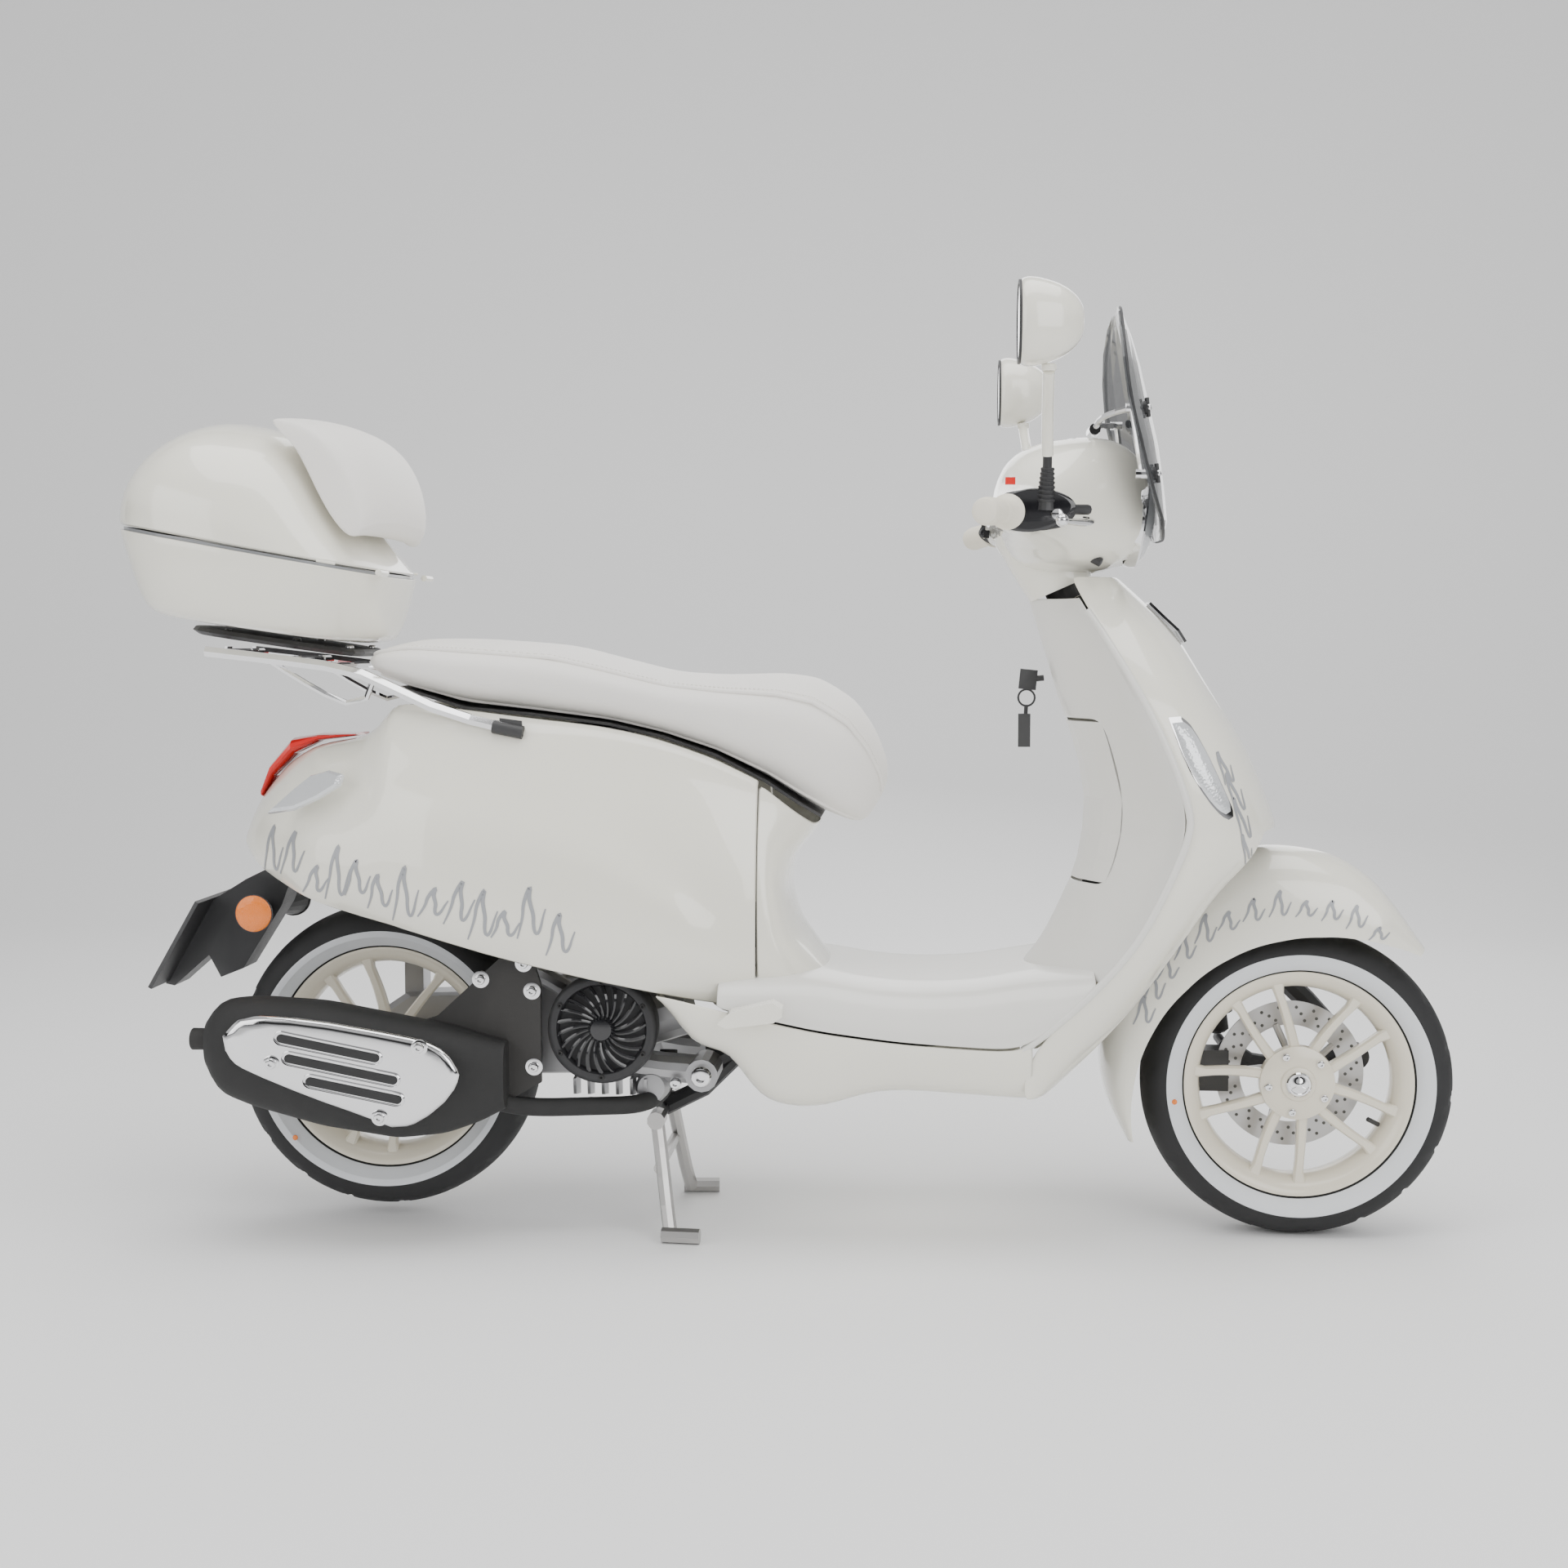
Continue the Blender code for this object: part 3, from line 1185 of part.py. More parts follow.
BUTTONS = {"kill_switch": ((0.9300, -0.185, 1.0985), (0.014, 0.012, 0.010), "red_plastic"),
           "starter_button": ((0.9080, -0.185, 1.0450), (0.009, 0.014, 0.012), "black_gloss"),
           "horn_button": ((0.9080, 0.185, 1.0450), (0.009, 0.014, 0.012), "black_gloss"),
           "signal_switch": ((0.9300, 0.185, 1.0975), (0.012, 0.020, 0.008), "black_gloss")}
for name, (spot, size, tone) in BUTTONS.items():
    make(name, lambda b, c=spot, d=size: brick(b, c, d), tone, spot)


# ---------------------------------------------------------------------- wheels
def rim_profile(width):
    w = width / 2.0
    return [(RIM_LIP_R, -w), (RIM_LIP_R, -w + 0.0065), (0.158, -w + 0.0076), (0.150, -w + 0.020),
            (0.146, 0.0), (0.150, w - 0.020), (0.158, w - 0.0076), (RIM_LIP_R, w - 0.0065),
            (RIM_LIP_R, w), (0.152, w), (0.142, w - 0.016), (0.139, 0.0), (0.142, -w + 0.016),
            (0.152, -w)]


def build_spokes(bm, centre, y_face):
    for pair in range(SPOKE_PAIRS):
        base = math.radians(115.0 - 72.0 * pair)
        for half in (-1.0, 1.0):
            a = base + half * math.radians(13.0)
            b = base + half * math.radians(24.0)
            inner = Vector((centre[0] + 0.036 * math.cos(b), y_face + 0.004,
                            centre[2] + 0.036 * math.sin(b)))
            outer = Vector((centre[0] + 0.1445 * math.cos(a), y_face - 0.006,
                            centre[2] + 0.1445 * math.sin(a)))
            yield inner, outer


def one_spoke(bm, inner, outer):
    axis = (outer - inner).normalized()
    side = Vector((-axis.z, 0.0, axis.x)).normalized()
    loops = []
    for p, w, d in ((inner, 0.0085, 0.010), (outer, 0.0075, 0.0085)):
        loops.append([p + side * w + Vector((0, -d, 0)) * 0.6, p - side * w + Vector((0, -d, 0)) * 0.6,
                      p - side * w + Vector((0, d, 0)), p + side * w + Vector((0, d, 0))])
    loft(bm, loops)


def wheel(name, centre, width, y_face, hub_in):
    c = Vector(centre)
    rim = make(name, lambda b: revolve(b, rim_profile(width), c, (0, 1, 0), 24), "wheel_cream",
               centre)
    for inner, outer in build_spokes(None, centre, y_face):
        combine(rim, lambda b, p=inner, q=outer: one_spoke(b, p, q))
    combine(rim, lambda b: lathe(b, c + Vector((0, y_face - 0.012, 0)), (0, 1, 0),
                                 [(0.0, 0.020), (0.002, 0.024), (0.004, 0.050), (0.010, 0.054),
                                  (0.020, 0.052), (hub_in, 0.034)], 16))
    combine(rim, lambda b: rod(b, c + Vector((0, y_face + 0.010, 0)), c + Vector((0, 0.12, 0)),
                               0.0104, segs=16), "DIFFERENCE")
    return rim


def tyre_profile(radius, width):
    w = width / 2.0
    b = BEAD_R + 0.0004
    return [(b, -0.0295), (0.1690, -0.0310), (0.1750, -0.0460), (0.1830, -w * 0.90), (0.1960, -w * 1.0),
            (radius - 0.018, -w * 0.88), (radius - 0.006, -w * 0.62), (radius, -w * 0.22),
            (radius, w * 0.22), (radius - 0.006, w * 0.62), (radius - 0.018, w * 0.88),
            (0.1960, w * 1.0), (0.1830, w * 0.90), (0.1750, 0.0460), (0.1690, 0.0310), (b, 0.0295),
            (b, 0.0215), (0.1720, 0.0225), (0.1900, w * 0.62), (radius - 0.014, 0.0),
            (0.1900, -w * 0.62), (0.1720, -0.0225), (b, -0.0215)]


FRONT_AXLE = (WHEELBASE, 0.0, FRONT_AXLE_Z)
REAR_AXLE = (0.0, 0.0, REAR_AXLE_Z)
wheel("front_rim", FRONT_AXLE, 0.078, -0.024, 0.052)
wheel("rear_rim", REAR_AXLE, 0.078, -0.024, 0.052)
make("front_tyre", lambda b: revolve(b, tyre_profile(FRONT_TYRE_R, FRONT_TYRE_W), FRONT_AXLE,
                                     (0, 1, 0), 32), "rubber", FRONT_AXLE)
make("rear_tyre", lambda b: revolve(b, tyre_profile(REAR_TYRE_R, REAR_TYRE_W), REAR_AXLE,
                                    (0, 1, 0), 32), "rubber", REAR_AXLE)


def build_disc(bm):
    revolve(bm, [(0.028, 0.0412), (0.110, 0.0412), (0.110, 0.0452), (0.028, 0.0452)], FRONT_AXLE,
            (0, 1, 0), 24)


make("brake_disc", build_disc, "steel", FRONT_AXLE)


# ----------------------------------------------------------- front suspension
def build_link(bm):
    sweep(bm, [(1.470, 0.080, 0.2475), (1.420, 0.080, 0.238), (1.365, 0.080, 0.2275),
               (1.310, 0.080, 0.236), (1.270, 0.080, 0.262)], 0.0150, 12, 1.0)


link = make("front_link", build_link, "black_plastic", LINK)
combine(link, lambda b: rod(b, (WHEELBASE, 0.090, FRONT_AXLE_Z), (WHEELBASE, -0.012, FRONT_AXLE_Z),
                            0.0100, segs=16))
combine(link, lambda b: rod(b, (1.470, 0.0915, 0.2475), (1.470, 0.070, 0.2475), 0.020, segs=16))
combine(link, lambda b: brick(b, (1.252, 0.0600, 0.2300), (0.044, 0.046, 0.062)))
combine(link, lambda b: brick(b, (1.278, 0.0432, 0.2300), (0.050, 0.0060, 0.080)),
        "DIFFERENCE")
combine(link, lambda b: rod(b, (1.272, 0.074, 0.262), (1.272, 0.140, 0.262), 0.0075, segs=12))


def build_front_shock(bm):
    a = Vector((1.2715, 0.126, 0.2700))
    b = Vector((1.2345, 0.126, 0.4820))
    axis = (b - a).normalized()
    n = (b - a).length
    lathe(bm, a, axis, [(0.0, 0.008), (0.010, 0.018), (n * 0.75, 0.018), (n * 0.80, 0.013),
                        (n - 0.001, 0.010)], 14)


make("front_shock", build_front_shock, "steel", (1.2715, 0.126, 0.2700))


# ------------------------------------------------------------- engine and drive
def build_engine(bm):
    loops = []
    for y, f in ((0.070, 0.94), (0.080, 1.0), (0.128, 1.0), (0.140, 0.93)):
        outline = [(-0.060, 0.215), (-0.052, 0.290), (0.000, 0.325), (0.120, 0.330),
                   (0.260, 0.360), (0.360, 0.360), (0.420, 0.320), (0.420, 0.235),
                   (0.360, 0.205), (0.200, 0.200), (0.060, 0.180), (-0.030, 0.185)]
        loops.append([(0.180 + (x - 0.180) * f, y, 0.265 + (z - 0.265) * f) for x, z in outline])
    loft(bm, loops)


engine = make("engine_case", build_engine, "cast_alloy", PIVOT)
combine(engine, lambda b: rod(b, (0.350, 0.075, 0.300), (0.350, -0.1130, 0.300), 0.066, segs=18))
combine(engine, lambda b: rod(b, (0.350, -0.020, 0.300), (0.462, -0.020, 0.335), 0.046, segs=14))
combine(engine, lambda b: sweep(b, [(0.350, -0.085, 0.260), (0.430, -0.085, 0.250),
                                    (0.492, -0.085, 0.246)], 0.022, 12))
combine(engine, lambda b: sweep(b, [(0.380, 0.092, 0.260), (0.440, 0.092, 0.250),
                                    (0.492, 0.092, 0.246)], 0.022, 12))
for side in (-1.0, 1.0):
    combine(engine, lambda b, s=side: rod(b, (0.492, s * 0.0524, 0.246), (0.492, s * 0.128, 0.246),
                                          0.0240, segs=14))
combine(engine, lambda b: rod(b, (0.0, 0.090, REAR_AXLE_Z), (0.0, -0.012, REAR_AXLE_Z), 0.0100,
                              segs=16))
combine(engine, lambda b: brick(b, (0.010, 0.118, 0.352), (0.030, 0.046, 0.070)))
combine(engine, lambda b: sweep(b, [(0.300, -0.060, 0.350), (0.235, -0.095, 0.395),
                                    (0.205, -0.118, 0.405)], 0.014, 10))


def build_fan_cover(bm):
    lathe(bm, (0.350, -0.1134, 0.318), (0, -1, 0),
          [(0.0, 0.078), (0.034, 0.080), (0.050, 0.074), (0.056, 0.064), (0.052, 0.056),
           (0.050, 0.020), (0.053, 0.010)], 22)


make("fan_cover", build_fan_cover, "black_plastic", PIVOT)


def build_muffler(bm):
    loops = []
    rows = [(-0.220, 0.296, 0.036, 0.034), (-0.200, 0.291, 0.068, 0.052),
            (-0.150, 0.284, 0.080, 0.058), (-0.050, 0.268, 0.090, 0.060),
            (0.060, 0.250, 0.088, 0.058), (0.130, 0.248, 0.078, 0.050),
            (0.180, 0.250, 0.062, 0.036), (0.215, 0.255, 0.048, 0.026)]
    for x, z, rz, ry in rows:
        loops.append([(x, -0.176 + u, z + v) for u, v in oval(0, 0, ry, rz, 16, 2.6)])
    loft(bm, loops)


muffler = make("muffler", build_muffler, "exhaust_black", PIVOT)
combine(muffler, lambda b: rod(b, (-0.205, -0.176, 0.300), (-0.246, -0.176, 0.303), 0.016, segs=14))
combine(muffler, lambda b: sweep(b, smooth([(0.190, -0.170, 0.215), (0.240, -0.150, 0.200),
                                            (0.340, -0.135, 0.201), (0.400, -0.128, 0.202),
                                            (0.425, -0.075, 0.205), (0.430, -0.030, 0.225),
                                            (0.430, -0.020, 0.262)], 10),
                                 0.0130, 8))
combine(muffler, lambda b: prism(b, [(0.060, 0.320), (0.110, 0.335), (0.180, 0.400), (0.206, 0.424),
                                     (0.246, 0.434), (0.262, 0.385), (0.262, 0.240), (0.200, 0.205),
                                     (0.150, 0.225)], -0.160, -0.152))
combine(muffler, lambda b: brick(b, (0.256, -0.134, 0.250), (0.016, 0.044, 0.030)))


def build_shield(bm):
    loops = []
    outline = [(-0.178, 0.318), (-0.150, 0.348), (-0.060, 0.345), (0.080, 0.322), (0.126, 0.311),
               (0.150, 0.290), (0.164, 0.262), (0.131, 0.218), (0.077, 0.186), (0.019, 0.208),
               (-0.051, 0.231), (-0.145, 0.268), (-0.172, 0.285)]
    for y, f in ((-0.2366, 1.0), (-0.2420, 1.0), (-0.2460, 0.94)):
        loops.append([(-0.010 + (x + 0.010) * f, y, 0.272 + (z - 0.272) * f) for x, z in outline])
    loft(bm, loops)


shield = make("heat_shield", build_shield, "chrome", PIVOT)
for dx, dz, n in ((-0.020, 0.036, 0.150), (-0.002, 0.006, 0.165), (0.016, -0.024, 0.140)):
    combine(shield, lambda b, p=dx, q=dz, m=n: brick(b, (p - 0.005, -0.240, 0.268 + q),
                                                     (m, 0.030, 0.012), spin_y=0.190),
            "DIFFERENCE")


def build_rear_shock(bm):
    a = Vector((0.010, 0.130, 0.3890))
    b = Vector((0.030, 0.120, 0.6480))
    axis = (b - a).normalized()
    n = (b - a).length
    lathe(bm, a, axis, [(0.0, 0.010), (0.012, 0.024), (n * 0.70, 0.024), (n * 0.74, 0.015),
                        (n, 0.011)], 16)


make("rear_shock", build_rear_shock, "black_plastic", (0.010, 0.130, 0.3890))
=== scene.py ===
"""Looks of the moped scooter: paint, chrome, rubber, padding and trim."""
import math
import bpy
import bmesh
import numpy as np
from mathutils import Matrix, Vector
from mathutils.bvhtree import BVHTree


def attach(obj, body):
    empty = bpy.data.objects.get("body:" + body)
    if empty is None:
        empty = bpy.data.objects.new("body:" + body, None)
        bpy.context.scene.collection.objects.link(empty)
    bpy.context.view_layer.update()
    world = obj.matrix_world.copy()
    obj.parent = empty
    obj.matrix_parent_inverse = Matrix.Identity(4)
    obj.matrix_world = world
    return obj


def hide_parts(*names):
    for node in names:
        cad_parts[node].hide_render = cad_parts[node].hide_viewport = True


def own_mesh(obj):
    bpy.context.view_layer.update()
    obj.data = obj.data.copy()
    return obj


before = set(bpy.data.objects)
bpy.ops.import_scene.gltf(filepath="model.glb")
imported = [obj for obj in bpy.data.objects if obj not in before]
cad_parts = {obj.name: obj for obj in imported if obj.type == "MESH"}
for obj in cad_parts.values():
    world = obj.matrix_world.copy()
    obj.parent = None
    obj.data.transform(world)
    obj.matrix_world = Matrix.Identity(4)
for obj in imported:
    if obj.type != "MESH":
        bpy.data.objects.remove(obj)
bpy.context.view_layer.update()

SHIFT = -0.6105
REAR = (0.0, 0.0, 0.249)
FRONT = (1.365, 0.0, 0.2275)


# ------------------------------------------------------------------- materials
def material(name, colour, rough=0.4, metal=0.0, coat=0.0, tint=0.05, grain=900.0,
             bump=0.05, blotch=6.0, spread=0.06, wear=0.0, wear_colour=(0.5, 0.5, 0.5),
             alpha=1.0, sheen=0.0, cells=0.0):
    """Principled surface with colour drift, uneven gloss, fine bump and worn edges."""
    mat = bpy.data.materials.new(name)
    mat.use_nodes = True
    nt = mat.node_tree
    p = nt.nodes["Principled BSDF"]
    link = nt.links.new
    geo = nt.nodes.new("ShaderNodeTexCoord")
    big = nt.nodes.new("ShaderNodeTexNoise")
    big.inputs["Scale"].default_value = blotch
    big.inputs["Detail"].default_value = 6.0
    link(geo.outputs["Object"], big.inputs["Vector"])
    mix = nt.nodes.new("ShaderNodeMix")
    mix.data_type = "RGBA"
    dark = tuple(max(0.0, c * (1.0 - tint)) for c in colour)
    light = tuple(min(1.0, c * (1.0 + tint * 0.6)) for c in colour)
    mix.inputs["A"].default_value = (*dark, 1.0)
    mix.inputs["B"].default_value = (*light, 1.0)
    link(big.outputs["Fac"], mix.inputs["Factor"])
    out = mix.outputs["Result"]
    if wear > 0.0:
        look = nt.nodes.new("ShaderNodeNewGeometry")
        edge = nt.nodes.new("ShaderNodeMapRange")
        edge.inputs["From Min"].default_value = 0.54
        edge.inputs["From Max"].default_value = 0.62
        edge.inputs["To Max"].default_value = wear
        link(look.outputs["Pointiness"], edge.inputs["Value"])
        rub = nt.nodes.new("ShaderNodeMix")
        rub.data_type = "RGBA"
        rub.inputs["B"].default_value = (*wear_colour, 1.0)
        link(edge.outputs["Result"], rub.inputs["Factor"])
        link(out, rub.inputs["A"])
        out = rub.outputs["Result"]
    link(out, p.inputs["Base Color"])
    gloss = nt.nodes.new("ShaderNodeMapRange")
    gloss.inputs["To Min"].default_value = max(0.02, rough - spread)
    gloss.inputs["To Max"].default_value = min(1.0, rough + spread)
    haze = nt.nodes.new("ShaderNodeTexNoise")
    haze.inputs["Scale"].default_value = blotch * 5.0
    haze.inputs["Detail"].default_value = 8.0
    link(geo.outputs["Object"], haze.inputs["Vector"])
    link(haze.outputs["Fac"], gloss.inputs["Value"])
    link(gloss.outputs["Result"], p.inputs["Roughness"])
    if cells > 0.0:
        fine = nt.nodes.new("ShaderNodeTexVoronoi")
        fine.inputs["Scale"].default_value = grain
        height = fine.outputs["Distance"]
    else:
        fine = nt.nodes.new("ShaderNodeTexNoise")
        fine.inputs["Scale"].default_value = grain
        fine.inputs["Detail"].default_value = 3.0
        height = fine.outputs["Fac"]
    link(geo.outputs["Object"], fine.inputs["Vector"])
    dent = nt.nodes.new("ShaderNodeBump")
    dent.inputs["Strength"].default_value = bump
    dent.inputs["Distance"].default_value = 0.0006
    link(height, dent.inputs["Height"])
    link(dent.outputs["Normal"], p.inputs["Normal"])
    p.inputs["Metallic"].default_value = metal
    p.inputs["Coat Weight"].default_value = coat
    p.inputs["Coat Roughness"].default_value = 0.03
    p.inputs["Alpha"].default_value = alpha
    p.inputs["Sheen Weight"].default_value = sheen
    return mat


M = {
    "ivory": material("ivory_enamel", (0.865, 0.845, 0.745), 0.24, coat=1.0, tint=0.02,
                      grain=420.0, bump=0.012, wear=0.15, wear_colour=(0.9, 0.89, 0.84)),
    "panel": material("satin_panel", (0.78, 0.77, 0.73), 0.34, coat=0.45, tint=0.03,
                      grain=1500.0, bump=0.05),
    "cream": material("wheel_enamel", (0.77, 0.715, 0.585), 0.3, coat=0.6, tint=0.04,
                      grain=700.0, bump=0.04, wear=0.2, wear_colour=(0.85, 0.82, 0.74)),
    "seat": material("grained_leatherette", (0.86, 0.835, 0.795), 0.55, tint=0.03, grain=900.0,
                     bump=0.35, sheen=0.15, cells=1.0),
    "grip": material("soft_cream_rubber", (0.82, 0.775, 0.66), 0.62, tint=0.05, grain=1400.0,
                     bump=0.15),
    "black": material("moulded_black", (0.022, 0.022, 0.024), 0.5, tint=0.25, grain=1800.0,
                      bump=0.25, wear=0.35, wear_colour=(0.1, 0.1, 0.1)),
    "gloss": material("gloss_black", (0.012, 0.012, 0.014), 0.12, coat=0.6, tint=0.2,
                      grain=600.0, bump=0.02),
    "rubber": material("tyre_rubber", (0.02, 0.02, 0.021), 0.72, tint=0.3, grain=1200.0,
                       bump=0.35, wear=0.3, wear_colour=(0.06, 0.06, 0.06)),
    "white": material("whitewall_band", (0.7, 0.72, 0.745), 0.6, tint=0.05, grain=900.0,
                      bump=0.15, blotch=25.0),
    "chrome": material("polished_chrome", (0.86, 0.86, 0.87), 0.06, metal=1.0, tint=0.03,
                       grain=300.0, bump=0.01, spread=0.03),
    "alloy": material("cast_alloy", (0.46, 0.46, 0.47), 0.45, metal=1.0, tint=0.15,
                      grain=700.0, bump=0.35),
    "steel": material("brushed_steel", (0.52, 0.51, 0.5), 0.32, metal=1.0, tint=0.12,
                      grain=500.0, bump=0.12),
    "soot": material("heat_proof_black", (0.018, 0.018, 0.018), 0.68, tint=0.3, grain=1300.0,
                     bump=0.45, wear=0.3, wear_colour=(0.07, 0.065, 0.06)),
    "red": material("red_lens", (0.72, 0.012, 0.01), 0.1, coat=0.8, tint=0.1, grain=250.0,
                    bump=0.05),
    "amber": material("amber_reflector", (0.86, 0.2, 0.005), 0.18, coat=0.8, tint=0.1,
                      grain=650.0, bump=0.8, cells=1.0),
    "lens": material("clear_ribbed_lens", (0.72, 0.74, 0.76), 0.1, metal=0.35, coat=0.9,
                     tint=0.08, grain=260.0, bump=0.6, cells=1.0),
    "smoke": material("smoked_acrylic", (0.06, 0.064, 0.07), 0.05, coat=0.5, tint=0.03,
                      grain=200.0, bump=0.01, alpha=0.7),
    "grey": material("decal_grey", (0.33, 0.34, 0.36), 0.35, coat=0.4, tint=0.08),
    # dark fill for the brake disc's drilled holes: painted shade in the holes
    "seam": material("painted_hole_shade", (0.1, 0.1, 0.095), 0.7, tint=0.2),
    "redtab": material("red_tab", (0.8, 0.02, 0.015), 0.3, coat=0.4),
    "mirror": material("mirror_glass", (0.88, 0.89, 0.9), 0.02, metal=1.0, tint=0.01,
                       bump=0.0, spread=0.01),
    "dial": material("dial_face", (0.05, 0.055, 0.06), 0.2, coat=0.7),
}

NODE_LOOK = {
    "ivory": ["apron", "belly_fairing", "body_front_cover", "case_tray", "case_lid",
              "headset_cover", "front_fender", "passenger_peg_right", "passenger_peg_left",
              "side_panel_right", "side_panel_left", "mirror_head_right", "mirror_head_left"],
    "panel": ["knee_panel", "glovebox_door", "floorboard"],
    "black": ["frame", "seat_bucket", "plate_bracket", "case_base_plate", "seat_base",
              "key_fobs", "ignition_key", "steering_fork", "front_link", "switch_pod_right",
              "switch_pod_left", "fan_cover"],
    "gloss": ["horn_cover", "starter_button", "horn_button", "signal_switch"],
    "dial": ["instrument_panel"], "chrome": ["luggage_rack", "screen_mount", "heat_shield",
                                             "brake_lever_right", "brake_lever_left"],
    "alloy": ["engine_case"], "steel": ["centre_stand", "brake_disc", "front_shock"],
    "soot": ["muffler", "rear_shock"], "red": ["tail_lamp"], "redtab": ["kill_switch"],
    "lens": ["rear_signal_right", "rear_signal_left", "front_signal_right",
             "front_signal_left", "headlight"],
    "smoke": ["windscreen"], "grip": ["left_grip", "throttle_grip"],
    "cream": ["front_rim", "rear_rim"], "rubber": ["front_tyre", "rear_tyre"],
    "seat": ["seat_cushion", "backrest_pad"],
}
for key, names in NODE_LOOK.items():
    for name in names:
        node = bpy.data.objects[name]
        if not node.material_slots:
            node.data.materials.append(M[key])
        for holder in node.material_slots:
            holder.material = M[key]


# --------------------------------------------------------------------- helpers
def lerp(a, b, t):
    return a + (b - a) * t


def curve_at(points, key):
    """The second number of a table of pairs, interpolated at a value of the first."""
    rows = np.array(points, dtype=float)
    return float(np.interp(key, rows[:, 0], rows[:, 1]))


def columns_at(rows, key, count):
    """Columns 1 to count of a number table, interpolated at a value of column 0."""
    return [float(np.interp(key, rows[:, 0], rows[:, k])) for k in range(1, count + 1)]


def ring(bm, points):
    return [bm.verts.new(p) for p in points]


def resample(points, count):
    pts = np.array(points, dtype=float)
    dist = np.concatenate([[0.0], np.cumsum(np.linalg.norm(np.diff(pts, axis=0), axis=1))])
    want = np.linspace(0.0, dist[-1], count)
    return [tuple(float(np.interp(w, dist, pts[:, k])) for k in range(pts.shape[1])) for w in want]


def smooth(points, count, rounds=3):
    pts = [tuple(p) for p in points]
    for _ in range(rounds):
        cut = [pts[0]]
        for a, b in zip(pts[:-1], pts[1:]):
            cut.append(tuple(lerp(u, v, 0.25) for u, v in zip(a, b)))
            cut.append(tuple(lerp(u, v, 0.75) for u, v in zip(a, b)))
        cut.append(pts[-1])
        pts = cut
    return resample(pts, count)


def piece(name, bm, look, body, replaces=(), angle=40.0, levels=0):
    """Finish a bmesh as a visible piece that rides on a body."""
    bmesh.ops.recalc_face_normals(bm, faces=bm.faces)
    for v in bm.verts:
        v.co.x += SHIFT
    limit = math.radians(angle)
    for f in bm.faces:
        f.smooth = True
    for e in bm.edges:
        if len(e.link_faces) == 2:
            e.smooth = e.calc_face_angle(0.0) < limit
    mesh = bpy.data.meshes.new(name)
    bm.to_mesh(mesh)
    bm.free()
    looks = look if isinstance(look, (list, tuple)) else [look]
    for entry in looks:
        mesh.materials.append(M[entry])
    obj = bpy.data.objects.new(name, mesh)
    bpy.context.scene.collection.objects.link(obj)
    if levels:
        mod = obj.modifiers.new("round", "SUBSURF")
        mod.levels = levels
        mod.render_levels = levels
    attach(obj, body)
    if replaces:
        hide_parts(*replaces)
    return obj


def skin(bm, rings):
    """Quads between successive closed rings of vertices."""
    count = len(rings[0])
    for low, high in zip(rings[:-1], rings[1:]):
        for k in range(count):
            n = (k + 1) % count
            bm.faces.new((low[k], low[n], high[n], high[k]))


def loft(bm, sections):
    """A closed solid through a row of loops, capped at both ends."""
    rings = [ring(bm, loop) for loop in sections]
    skin(bm, rings)
    bm.faces.new(list(reversed(rings[0])))
    bm.faces.new(rings[-1])


def shell(bm, grid, thick, skip=None):
    surf = bmesh.new()
    vert = [[surf.verts.new(p) for p in row] for row in grid]
    for i in range(len(grid) - 1):
        for j in range(len(grid[0]) - 1):
            if skip is None or not skip(i, j):
                surf.faces.new((vert[i][j], vert[i][j + 1], vert[i + 1][j + 1], vert[i + 1][j]))
    bmesh.ops.delete(surf, geom=[v for v in surf.verts if not v.link_faces], context="VERTS")
    surf.normal_update()
    outer = {v: bm.verts.new(v.co) for v in surf.verts}
    inner = {v: bm.verts.new(v.co - v.normal * thick) for v in surf.verts}
    for f in surf.faces:
        bm.faces.new([outer[v] for v in f.verts])
        bm.faces.new([inner[v] for v in reversed(f.verts)])
    for e in surf.edges:
        if len(e.link_faces) == 1:
            lp = [q for q in e.link_faces[0].loops if q.edge == e][0]
            a, b = lp.vert, lp.link_loop_next.vert
            bm.faces.new((outer[b], outer[a], inner[a], inner[b]))
    surf.free()


def oval(cx, cy, rx, ry, count=16, power=2.0, spin=0.0):
    loop = []
    for k in range(count):
        t = 2.0 * math.pi * (k + 0.5) / count
        c, s = math.cos(t), math.sin(t)
        u = rx * math.copysign(abs(c) ** (2.0 / power), c)
        v = ry * math.copysign(abs(s) ** (2.0 / power), s)
        loop.append((cx + u * math.cos(spin) - v * math.sin(spin),
                     cy + u * math.sin(spin) + v * math.cos(spin)))
    return loop


def sweep(bm, path, radius, segs=10, flat=1.0, hint=(0.0, 1.0, 0.0)):
    pts = [Vector(p) for p in path]
    radii = radius if isinstance(radius, (list, tuple)) else [radius] * len(pts)
    side = None
    loops = []
    for k, point in enumerate(pts):
        ahead = (pts[min(k + 1, len(pts) - 1)] - pts[max(k - 1, 0)]).normalized()
        if side is None:
            base = Vector(hint)
            if abs(base.dot(ahead)) > 0.95:
                base = Vector((0.0, 0.0, 1.0))
            side = (base - ahead * base.dot(ahead)).normalized()
        else:
            side = (side - ahead * side.dot(ahead)).normalized()
        up = ahead.cross(side)
        loops.append([point + side * (radii[k] * math.cos(2 * math.pi * s / segs))
                      + up * (radii[k] * flat * math.sin(2 * math.pi * s / segs))
                      for s in range(segs)])
    loft(bm, loops)


def frame_of(axis):
    a = Vector(axis).normalized()
    ref = Vector((0.0, 0.0, 1.0)) if abs(a.z) < 0.9 else Vector((1.0, 0.0, 0.0))
    u = (ref - a * ref.dot(a)).normalized()
    return a, u, a.cross(u)


def turned(bm, start, axis, steps, segs=24):
    a, u, w = frame_of(axis)
    loft(bm, [[Vector(start) + a * h + u * (r * math.cos(2 * math.pi * k / segs))
               + w * (r * math.sin(2 * math.pi * k / segs)) for k in range(segs)]
              for h, r in steps])


